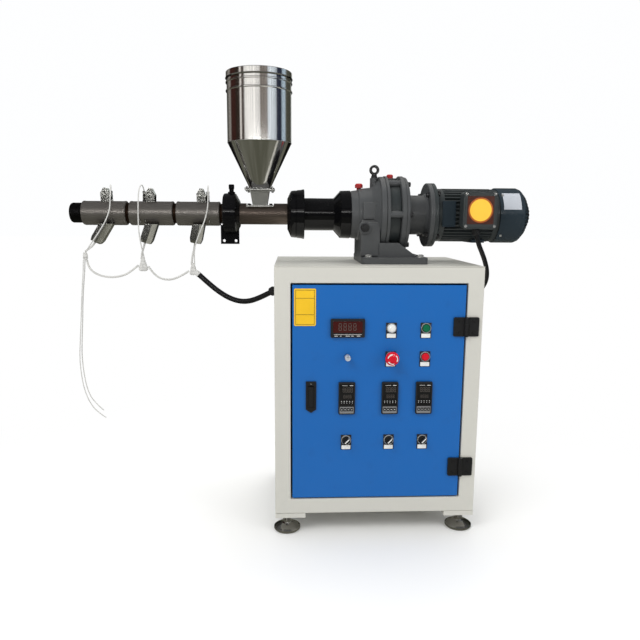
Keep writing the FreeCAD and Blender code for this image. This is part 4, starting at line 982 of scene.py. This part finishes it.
class EXTRUDER_OT_motor(bpy.types.Operator):
    """Finishes the motor and adds its pads, cowl, vents as dark discs of painted shade, terminal box, blank
    plates and a silver patch of painted reflection on the cowl
    """
    bl_idname = "extruder.motor"
    bl_label = "Motor"

    def execute(self, context):
        dress("motor enamel", "motor_frame")
        bm = bmesh.new()
        add_box(bm, (500, 117.5, 916), (540, 135, 992), FRONT, 0.003, 0.0008)
        add_box(bm, (504, 116.6, 920), (536, 118.5, 988), FRONT, 0.002, 0.0005)
        add_box(bm, (600, 150, 868), (640, 250, 878), RIGHT, 0.003, 0.0008)
        piece("motor_pad", bm, "cowl enamel", "motor_paint")
        bm = bmesh.new()
        add_turned(bm, [(676, 0), (676, 83), (677, 84), (742, 84), (752, 80), (766, 64), (780, 38), (786, 22),
                        (790, 12), (790, 0)], SCREW_LINE, RIGHT, edge=0.0022)
        piece("fan_cowl", bm, "cowl enamel", "motor_paint", replaces=("fan_cover",))
        bm = bmesh.new()
        # The vent holes are not cut: near-black discs set into the cowl are painted shade inside the holes
        slope = Vector((0.75, 0, 0.66)).normalized()
        vents = ((73, 758, 40), (64.5, 765.4, 36), (55, 770.6, 30), (46, 775.3, 24), (38, 779.6, 20),
                 (29, 783, 14), (20, 786.3, 8))
        for radius, x, count in vents:
            for angle, place in around(radius, count, 4, x):
                out = Vector((slope.x, -math.cos(angle) * slope.z, math.sin(angle) * slope.z))
                add_rod(bm, place - out * 1.2 * MM, out, 3.0, 1.6, 12)
        piece("cowl_vents", bm, "vent dark", "motor_paint")
        bm = bmesh.new()
        for angle, place in around(84, 4, 45, 686):
            way = Vector((0, -math.cos(angle), math.sin(angle)))
            add_bolt(bm, place, way, 7, 3, False)
        corners = [(x, z) for x in (554, 638) for z in (919, 1011)]
        for x, z in corners:
            add_bolt(bm, at(x, 60.2, z), FRONT, 7.0, 2.6, True, True)
        piece("motor_screws", bm, "bright steel", "foot_chrome")
        bm = bmesh.new()
        add_box(bm, (546, 60, 911), (646, 74, 1019), FRONT, 0.009, 0.0022)
        add_box(bm, (551, 58.6, 916), (641, 61, 1014), FRONT, 0.012, 0.0010)
        add_box(bm, (550, 74, 915), (642, 75.6, 1015), FRONT, 0.007)
        add_box(bm, (549, 75.6, 914), (643, 112, 1016), FRONT, 0.008, 0.0014)
        for x, z in corners:
            add_rod(bm, at(x, 62, z), FRONT, 6.4, 2.4, 28, edge=0.5)
        piece("terminal_box_casting", bm, "motor enamel", "motor_paint", replaces=("terminal_box",))
        bm = bmesh.new()
        add_box(bm, (557, 57.9, 925), (635, 58.8, 1005), FRONT, 0.003, 0.0002)
        piece("dark_plate", bm, "plate orange", "motor_paint")
        lid_y = 58.6
        for name, coat, front, radius in (("orange_ring", "ring orange", 57.5, 36.0),
                                          ("yellow_disc", "disc yellow", 57.1, 31.5)):
            bm = bmesh.new()
            add_rod(bm, at(596, lid_y, 965), FRONT, radius, lid_y - front, 96)
            piece(name, bm, coat, "motor_paint")
        # A thin silver patch spun onto the front of the cowl: painted reflection of a bright window in the
        # glossy cowl
        patch = bmesh.new()
        first = [patch.verts.new(at(x, SCREW_Y - 84.3, SCREW_Z)) for x in (686, 690, 736, 740)]
        strip = [patch.edges.new(pair) for pair in zip(first, first[1:])]
        bmesh.ops.rotate(patch, verts=first, cent=SCREW_LINE,
                         matrix=Matrix.Rotation(math.radians(-12), 3, "X"))
        bmesh.ops.spin(patch, geom=first + strip, cent=SCREW_LINE, axis=LEFT, angle=math.radians(40),
                       steps=20)
        bmesh.ops.recalc_face_normals(patch, faces=patch.faces)
        bmesh.ops.solidify(patch, geom=patch.faces[:], thickness=0.0004)
        piece("cowl_plate", patch, "spun aluminium", "motor_paint", weighted=False)
        return {"FINISHED"}


# ---------------------------------------------------------------- screw line

def add_lug(bm, xs, ys, zs, holes, radius):
    """A hanging plate with round holes through it, from near to far; sizes in millimetres."""
    part = bmesh.new()
    edges, rings = [], [[(xs[0], zs[1]), (xs[0], zs[0]), (xs[1], zs[0]), (xs[1], zs[1])]]
    turns = [2 * math.pi * i / 32 for i in range(32)]
    for x, z in holes:
        rings.append([(x + radius * math.cos(turn), z + radius * math.sin(turn)) for turn in turns])
    for ring in rings:
        verts = [part.verts.new(at(x, ys[0], z)) for x, z in ring]
        edges += [part.edges.new((a, b)) for a, b in zip(verts, verts[1:] + verts[:1])]
    bmesh.ops.triangle_fill(part, edges=edges, use_beauty=True, normal=(0, -1, 0))
    push(part, part.faces[:], BACK * (ys[1] - ys[0]) * MM)
    bmesh.ops.recalc_face_normals(part, faces=part.faces)
    absorb(bm, part)


class EXTRUDER_OT_screw_line(bpy.types.Operator):
    """Finishes the flanges, the feed tube and the barrel and adds their bolts"""
    bl_idname = "extruder.screw_line"
    bl_label = "Screw line"

    def execute(self, context):
        dress("black enamel", "thrust_housing", "hose_nipple")
        dress("feed steel", "feed_section")
        dress("groove brown", "barrel")
        dress("bright steel", "screw")
        dress("blackened steel", "die_nut")
        bm = bmesh.new()
        add_turned(bm, [(88, 31), (88, 74), (86.6, 75.4), (83, 75.4), (80.4, 74.2), (64.4, 72.4),
                        (63.6, 70.6), (62.4, 70.6), (61.6, 72), (49, 70.4), (46, 68), (38, 50), (36.2, 47),
                        (36.2, 31), (88, 31)], SCREW_LINE, RIGHT, 128)
        piece("drive_flange_turned", bm, "black enamel", "gloss_black", replaces=("drive_flange",))
        bm = bmesh.new()
        add_turned(bm, [(-158, 31), (-158, 57), (-155.6, 60.6), (-151, 61.4), (-124, 61.4), (-120, 60),
                        (-108.4, 39), (-108.4, 31), (-158, 31)], SCREW_LINE, RIGHT, 112)
        add_lug(bm, (-168.5, -112.5), (195, 205), (859, 917), [(-158.5, 869), (-122.5, 869)], 4.5)
        piece("barrel_flange_turned", bm, "black enamel", "gloss_black", replaces=("barrel_flange",))
        flats = sizes().flange_bolt / MM
        bm = bmesh.new()
        for x in (-80, -14):
            for y in (174, 226):
                add_bolt(bm, at(x, y, 977), UP, flats, 5, False, True)
        piece("flange_bolts", bm, "black casting", "gloss_black")
        bm = bmesh.new()
        for i in range(3):
            add_turned(bm, [(14 + i * 3, 8.4), (16.6 + i * 3, 7.4), (17 + i * 3, 8.6), (17 + i * 3, 0)],
                       at(-134, SCREW_Y, 1012), UP, 32)
        piece("nipple_barbs", bm, "black enamel", "gloss_black")
        return {"FINISHED"}


def add_cap(bm, x, y, z, tilt):
    """A folded sheet cap, wider at one side, hung slanting and cut off level under its band."""
    part = bmesh.new()
    outline = [(-19, 4), (-13, -19), (6, -19), (19, -6), (19, 22), (-19, 22)]
    place = Matrix.Translation(at(x, y, z)) @ Matrix.Rotation(tilt, 4, "Y")
    low, middle, high = ([part.verts.new(place @ (Vector((a * wide, b * deep, z)) * MM)) for a, b in outline]
                         for wide, deep, z in ((0.82, 0.9, -24), (1, 1, -12), (1, 1, 60)))
    part.faces.new(low)
    part.faces.new(high[::-1])
    for first, second in ((low, middle), (middle, high)):
        for i in range(len(outline)):
            j = (i + 1) % len(outline)
            part.faces.new((first[i], second[i], second[j], first[j]))
    bmesh.ops.recalc_face_normals(part, faces=part.faces)
    cut = bmesh.ops.bisect_plane(part, geom=part.verts[:] + part.edges[:] + part.faces[:],
                                 plane_co=at(0, 0, 919), plane_no=UP, clear_outer=True)
    bmesh.ops.holes_fill(part, edges=[e for e in cut["geom_cut"] if isinstance(e, bmesh.types.BMEdge)])
    bmesh.ops.recalc_face_normals(part, faces=part.faces)
    soften(part, edges_of(part, part.verts), 0.0009)
    absorb(bm, part)
    add_rod(bm, place @ (Vector((-3, -19, 2)) * MM), place.to_3x3() @ FRONT, 2.2, 0.9, 20, edge=0.2)


class EXTRUDER_OT_heaters(bpy.types.Operator):
    """Finishes the heater bands and adds their hoops, seams, clips, springs and terminal caps"""
    bl_idname = "extruder.heaters"
    bl_label = "Heaters"

    def execute(self, context):
        dress("band steel", "heater_bands")
        dress("zinc plate", "band_clamps", "temperature_probes")
        bm = bmesh.new()
        for x in BAND_XS:
            for start in (x + 1.5, x + BAND_LEN - 6.5):
                add_turned(bm, [(start, 35.3), (start, 35.9), (start + 0.4, 36.1), (start + 4.6, 36.1),
                                (start + 5, 35.9), (start + 5, 35.3), (start, 35.3)], SCREW_LINE, RIGHT)
            add_box(bm, (x + 4, 197, 914.2), (x + BAND_LEN - 4, 203, 916.2), RIGHT, 0.0006)
        piece("band_hoops", bm, "band steel", "band_steel")
        bm = bmesh.new()
        for x in (-512, -378, -225):
            house = [(x + dx, z) for dx, z in ((-13, 984), (13, 984), (14, 1006), (5, 1025), (-4, 1026),
                                               (-14, 1010))]
            add_slab(bm, house, 187, 188.4, 0.0004)
            add_slab(bm, house, 211.6, 213, 0.0004)
            for (xa, za), (xb, zb) in zip(house[2:], house[3:]):
                add_slab(bm, [(xa, za), (xb, zb), (xb, zb - 1.6), (xa, za - 1.6)], 187.6, 212.4)
            add_bolt(bm, at(x - 2, 187, 1003), FRONT, 8, 4)
        for x in (-497, -398, -206):
            for i in range(9):
                coil = 40.5 + i * 1.6
                add_turned(bm, [(coil, 4.2), (coil + 0.4, 4.9), (coil + 1.0, 4.9), (coil + 1.4, 4.2),
                                (coil, 4.2)], at(x, SCREW_Y, SCREW_Z), UP, 20)
            add_bolt(bm, at(x, SCREW_Y, SCREW_Z + 36), UP, 10, 4, False)
            for wall in (-8, 8):
                add_box(bm, (x + wall - 1, 165.5, 919), (x + wall + 1, 168.5, 934), RIGHT)
        piece("band_fittings", bm, "zinc plate", "clamp_zinc")
        bm = bmesh.new()
        for x, tilt in ((-527, 32), (-384, 20), (-238, 12)):
            add_cap(bm, x, 164, 886, math.radians(tilt))
        piece("terminal_caps", bm, "zinc plate", "clamp_zinc", replaces=("heater_terminal_boxes",))
        return {"FINISHED"}


class EXTRUDER_OT_hopper(bpy.types.Operator):
    """Polishes the hopper and adds its weld beads and the bolts of its plates"""
    bl_idname = "extruder.hopper"
    bl_label = "Hopper"

    def execute(self, context):
        dress("mirror steel", "hopper_cylinder", "hopper_cone", "hopper_lid")
        dress("throat steel", "hopper_throat")
        bm = bmesh.new()
        for bead in ([(1160.2, 95.6), (1160.4, 96.5), (1161.6, 96.5), (1161.8, 95.6)],
                     [(1028, 31), (1028, 33.6), (1029.4, 33.2), (1030.4, 32.6), (1030.4, 31)]):
            add_turned(bm, bead, HOPPER_LINE, UP)
        add_box(bm, (HOPPER_X - 1.1, 295.2, 1163), (HOPPER_X + 1.1, 296.6, 1304), UP, 0.0006)
        piece("hopper_welds", bm, "throat steel", "mirror_steel")
        bm = bmesh.new()
        for x in THROAT_CORNERS:
            for y in THROAT_CORNERS:
                for z, way in ((1028, UP), (1021, DOWN)):
                    add_bolt(bm, at(HOPPER_X + x, SCREW_Y + y, z), way, 7, 3.5)
        piece("hopper_bolts", bm, "bright steel", "foot_chrome")
        return {"FINISHED"}


class EXTRUDER_OT_glands(bpy.types.Operator):
    """Finishes the cable glands and adds their ribbed nuts"""
    bl_idname = "extruder.glands"
    bl_label = "Glands"

    def execute(self, context):
        dress("nylon black", "cable_glands")
        bm = bmesh.new()
        for name, last, radius in (("heater_conduit", True, 12.5), ("motor_cable", True, 11.5),
                                   ("motor_cable", False, 11.5)):
            points = [at(*point) for point in ROUTES[name][6]]
            end, before = (points[-1], points[-2]) if last else (points[0], points[1])
            way = (end - before).normalized()
            add_turned(bm, [(0, radius - 3), (0, radius - 1.5), (1.5, radius), (9, radius), (9, radius + 1),
                            (13, radius + 1), (13, 0), (0, 0)], end + way * 0.3 * MM, way, 48)
            ribs = 16
            for i in range(ribs):
                turn = Matrix.Rotation(2 * math.pi * i / ribs, 3, way)
                out = turn @ way.orthogonal().normalized()
                add_rod(bm, end + way * 2.5 * MM + out * radius * MM, way, 0.7, 6, 6)
        piece("gland_nuts", bm, "nylon black", "gland_black", weighted=False)
        return {"FINISHED"}


# ---------------------------------------------------------------- stage

class Air(Finish):
    """The world's nodes, fed in the same way."""

    def __init__(self, name):
        self.material = bpy.data.worlds.new(name)
        self.material.use_nodes = True
        self.tree = self.material.node_tree
        self.shader = self.tree.nodes["Background"]


# What stands round the polished metal, from the far side by the left, the near side and the right: the part
# of a turn (0 to 1) and the colour there
SURROUND = ((0.0, (0.66, 0.70, 0.68)), (0.03, (0.60, 0.64, 0.62)), (0.036, (0.16, 0.16, 0.15)),
            (0.07, (0.08, 0.08, 0.07)), (0.12, (0.10, 0.095, 0.085)), (0.145, (0.30, 0.28, 0.26)),
            (0.175, (0.26, 0.24, 0.22)), (0.19, (0.055, 0.022, 0.018)), (0.25, (0.05, 0.02, 0.016)),
            (0.262, (0.03, 0.02, 0.016)), (0.305, (0.035, 0.025, 0.02)), (0.312, (0.85, 0.80, 0.76)),
            (0.325, (0.80, 0.76, 0.72)), (0.331, (0.08, 0.06, 0.05)), (0.352, (0.07, 0.05, 0.045)),
            (0.360, (1.0, 0.98, 0.95)), (0.505, (1.0, 0.98, 0.96)), (0.513, (0.22, 0.19, 0.17)),
            (0.58, (0.28, 0.25, 0.23)), (0.588, (0.78, 0.84, 0.90)), (0.675, (0.70, 0.78, 0.86)),
            (0.683, (0.03, 0.035, 0.06)), (0.74, (0.025, 0.03, 0.05)), (0.748, (0.50, 0.62, 0.74)),
            (0.80, (0.42, 0.52, 0.60)), (0.81, (0.09, 0.09, 0.07)),
            (0.93, (0.06, 0.062, 0.05)), (0.937, (0.50, 0.52, 0.50)), (0.962, (0.44, 0.46, 0.44)),
            (0.968, (0.12, 0.12, 0.11)), (0.988, (0.66, 0.70, 0.68)))


def glow_stripes():
    """What the polished metal sees: upright strips of doorways and windows, dark under and over them."""
    f = Finish("studio_surround")
    coords = f.place()
    x, y, z = (f.axis(coords, name) for name in "XYZ")
    turn = x.maths("ARCTAN2", x, 0.0 - y) / (2 * math.pi) + 0.5
    fine = f.node("ShaderNodeCombineXYZ", {}, {"X": turn * 240.0, "Y": 3.0, "Z": 0.0})
    lines = 1.0 - f.noise(fine, 1.0, 0.0).above(0.52, 0.57) * 0.85
    windows = z.above(1.52, 1.60) * (1.0 - z.above(2.45, 2.7))
    scene = f.node("ShaderNodeValToRGB", {"stops": SURROUND}, {"Fac": turn})
    f.show(f.emission(scene, 0.05 + 1.25 * windows * lines))
    return f.material


def pale_floor():
    """A pale floor that turns into the white of the backdrop further out."""
    f = Finish("pale_floor")
    coords = f.place()
    x, y = f.axis(coords, "X"), f.axis(coords, "Y")
    far = (x * x + y * y).maths("SQRT", x * x + y * y).above(0.35, 1.5)
    white = f.emission((1.0, 1.0, 1.0), 1.0)
    f.set(Base_Color=(0.90, 0.90, 0.89), Roughness=0.75)
    coat = Socket(f, f.shader.outputs["BSDF"])
    f.show(f.node("ShaderNodeMixShader", {}, {0: far, 1: coat, 2: white}))
    return f.material


def only_in_reflections(card):
    for ray in ("camera", "diffuse", "transmission", "volume_scatter", "shadow"):
        setattr(card, "visible_" + ray, False)


def stage_piece(name, bm, material):
    mesh = bpy.data.meshes.new(name)
    bm.to_mesh(mesh)
    bm.free()
    mesh.materials.append(material)
    card = bpy.data.objects.new(name, mesh)
    bpy.context.scene.collection.objects.link(card)
    return card


class EXTRUDER_OT_stage(bpy.types.Operator):
    """Lays the pale floor and sets the soft lights"""
    bl_idname = "extruder.stage"
    bl_label = "Stage"

    def light(self, name, place, aim, size, power):
        data = bpy.data.lights.new(name, "AREA")
        data.shape, data.size, data.size_y, data.energy = "RECTANGLE", *size, power
        lamp = bpy.data.objects.new(name, data)
        lamp.location = place
        lamp.rotation_euler = (Vector(aim) - Vector(place)).to_track_quat("-Z", "Y").to_euler()
        lamp.visible_glossy = False
        bpy.context.scene.collection.objects.link(lamp)

    def execute(self, context):
        stage = context.scene.extruder_stage
        floor = bmesh.new()
        bmesh.ops.create_grid(floor, x_segments=1, y_segments=1, size=30.0)
        ground = stage_piece("floor", floor, pale_floor())
        ground.visible_glossy = False
        under = bmesh.new()
        bmesh.ops.create_circle(under, cap_ends=True, segments=64, radius=6.0,
                                matrix=Matrix.Translation((0, 0, -0.01)))
        f = Finish("floor_in_reflections")
        patches = f.noise(f.place(), 1.3, 4.0).above(0.4, 0.7)
        f.show(f.emission(f.mix(patches, (0.10, 0.10, 0.075), (0.20, 0.20, 0.165)), 1.0))
        only_in_reflections(stage_piece("dark_floor", under, f.material))
        drum = bmesh.new()
        bmesh.ops.create_cone(drum, cap_ends=False, segments=96, radius1=4.2, radius2=4.2, depth=3.4,
                              matrix=Matrix.Translation((0, 0, 1.69)))
        only_in_reflections(stage_piece("surround", drum, glow_stripes()))
        strip = bmesh.new()
        bmesh.ops.create_grid(strip, x_segments=1, y_segments=1, size=1.0,
                              matrix=Matrix.Translation((-0.1, -1.7, 1.29))
                              @ Matrix.Rotation(math.pi / 2, 4, "X")
                              @ Matrix.Diagonal((1.3, 0.022, 1.0, 1.0)))
        f = Finish("strip_light")
        f.show(f.emission((1.0, 1.0, 0.98), stage.strip))
        only_in_reflections(stage_piece("strip", strip, f.material))
        for name, place, aim, size in (("key", (-1.5, -1.9, 2.9), (0, 0, 0.75), (2.0, 1.6)),
                                       ("fill", (2.3, -1.7, 1.7), (0.1, 0, 0.8), (1.6, 1.8)),
                                       ("top", (0.1, 0.3, 3.1), (0.1, 0, 0.8), (3.0, 1.4)),
                                       ("rim", (0.6, 2.3, 2.1), (0.1, 0, 0.9), (2.2, 1.0))):
            self.light(name, place, aim, size, getattr(stage, name))
        air = Air("studio_air")
        seen = air.node("ShaderNodeLightPath", {}, {}, "Is Camera Ray")
        mirrored = air.node("ShaderNodeLightPath", {}, {}, "Is Glossy Ray")
        air.set(Color=(0.99, 0.995, 1.0),
                Strength=stage.air + seen * (1.0 - stage.air) + mirrored * (MIRRORED_AIR - stage.air))
        context.scene.world = air.material
        context.scene.view_settings.view_transform = "Standard"
        return {"FINISHED"}


class EXTRUDER_PT_panel(bpy.types.Panel):
    """Lists the machine's pieces and settings"""
    bl_idname = "EXTRUDER_PT_panel"
    bl_label = "Plastic Extruder"
    bl_space_type = "VIEW_3D"
    bl_region_type = "UI"
    bl_category = "Extruder"

    def draw(self, context):
        for group in GROUPS:
            box = self.layout.box()
            for name in GROUPS[group].__annotations__:
                box.prop(getattr(context.scene, group), name)
        for step in STEPS:
            self.layout.operator(step.bl_idname)


GROUPS = {"extruder_colours": ExtruderColours, "extruder_sizes": ExtruderSizes,
          "extruder_stage": ExtruderStage}
STEPS = (EXTRUDER_OT_camera, EXTRUDER_OT_leads, EXTRUDER_OT_joints_taped, EXTRUDER_OT_cabinet,
         EXTRUDER_OT_door, EXTRUDER_OT_instruments, EXTRUDER_OT_switches, EXTRUDER_OT_gearbox,
         EXTRUDER_OT_motor, EXTRUDER_OT_screw_line, EXTRUDER_OT_heaters, EXTRUDER_OT_hopper,
         EXTRUDER_OT_glands, EXTRUDER_OT_stage)


def register():
    for group in GROUPS.values():
        bpy.utils.register_class(group)
    for name, group in GROUPS.items():
        setattr(bpy.types.Scene, name, bpy.props.PointerProperty(type=group))
    for step in (*STEPS, EXTRUDER_PT_panel):
        bpy.utils.register_class(step)


def unregister():
    for step in (EXTRUDER_PT_panel, *reversed(STEPS)):
        bpy.utils.unregister_class(step)
    for name, group in GROUPS.items():
        delattr(bpy.types.Scene, name)
        bpy.utils.unregister_class(group)


def main():
    register()
    for step in STEPS:
        group, name = step.bl_idname.split(".")
        getattr(getattr(bpy.ops, group), name)()


if __name__ == "__main__":
    main()
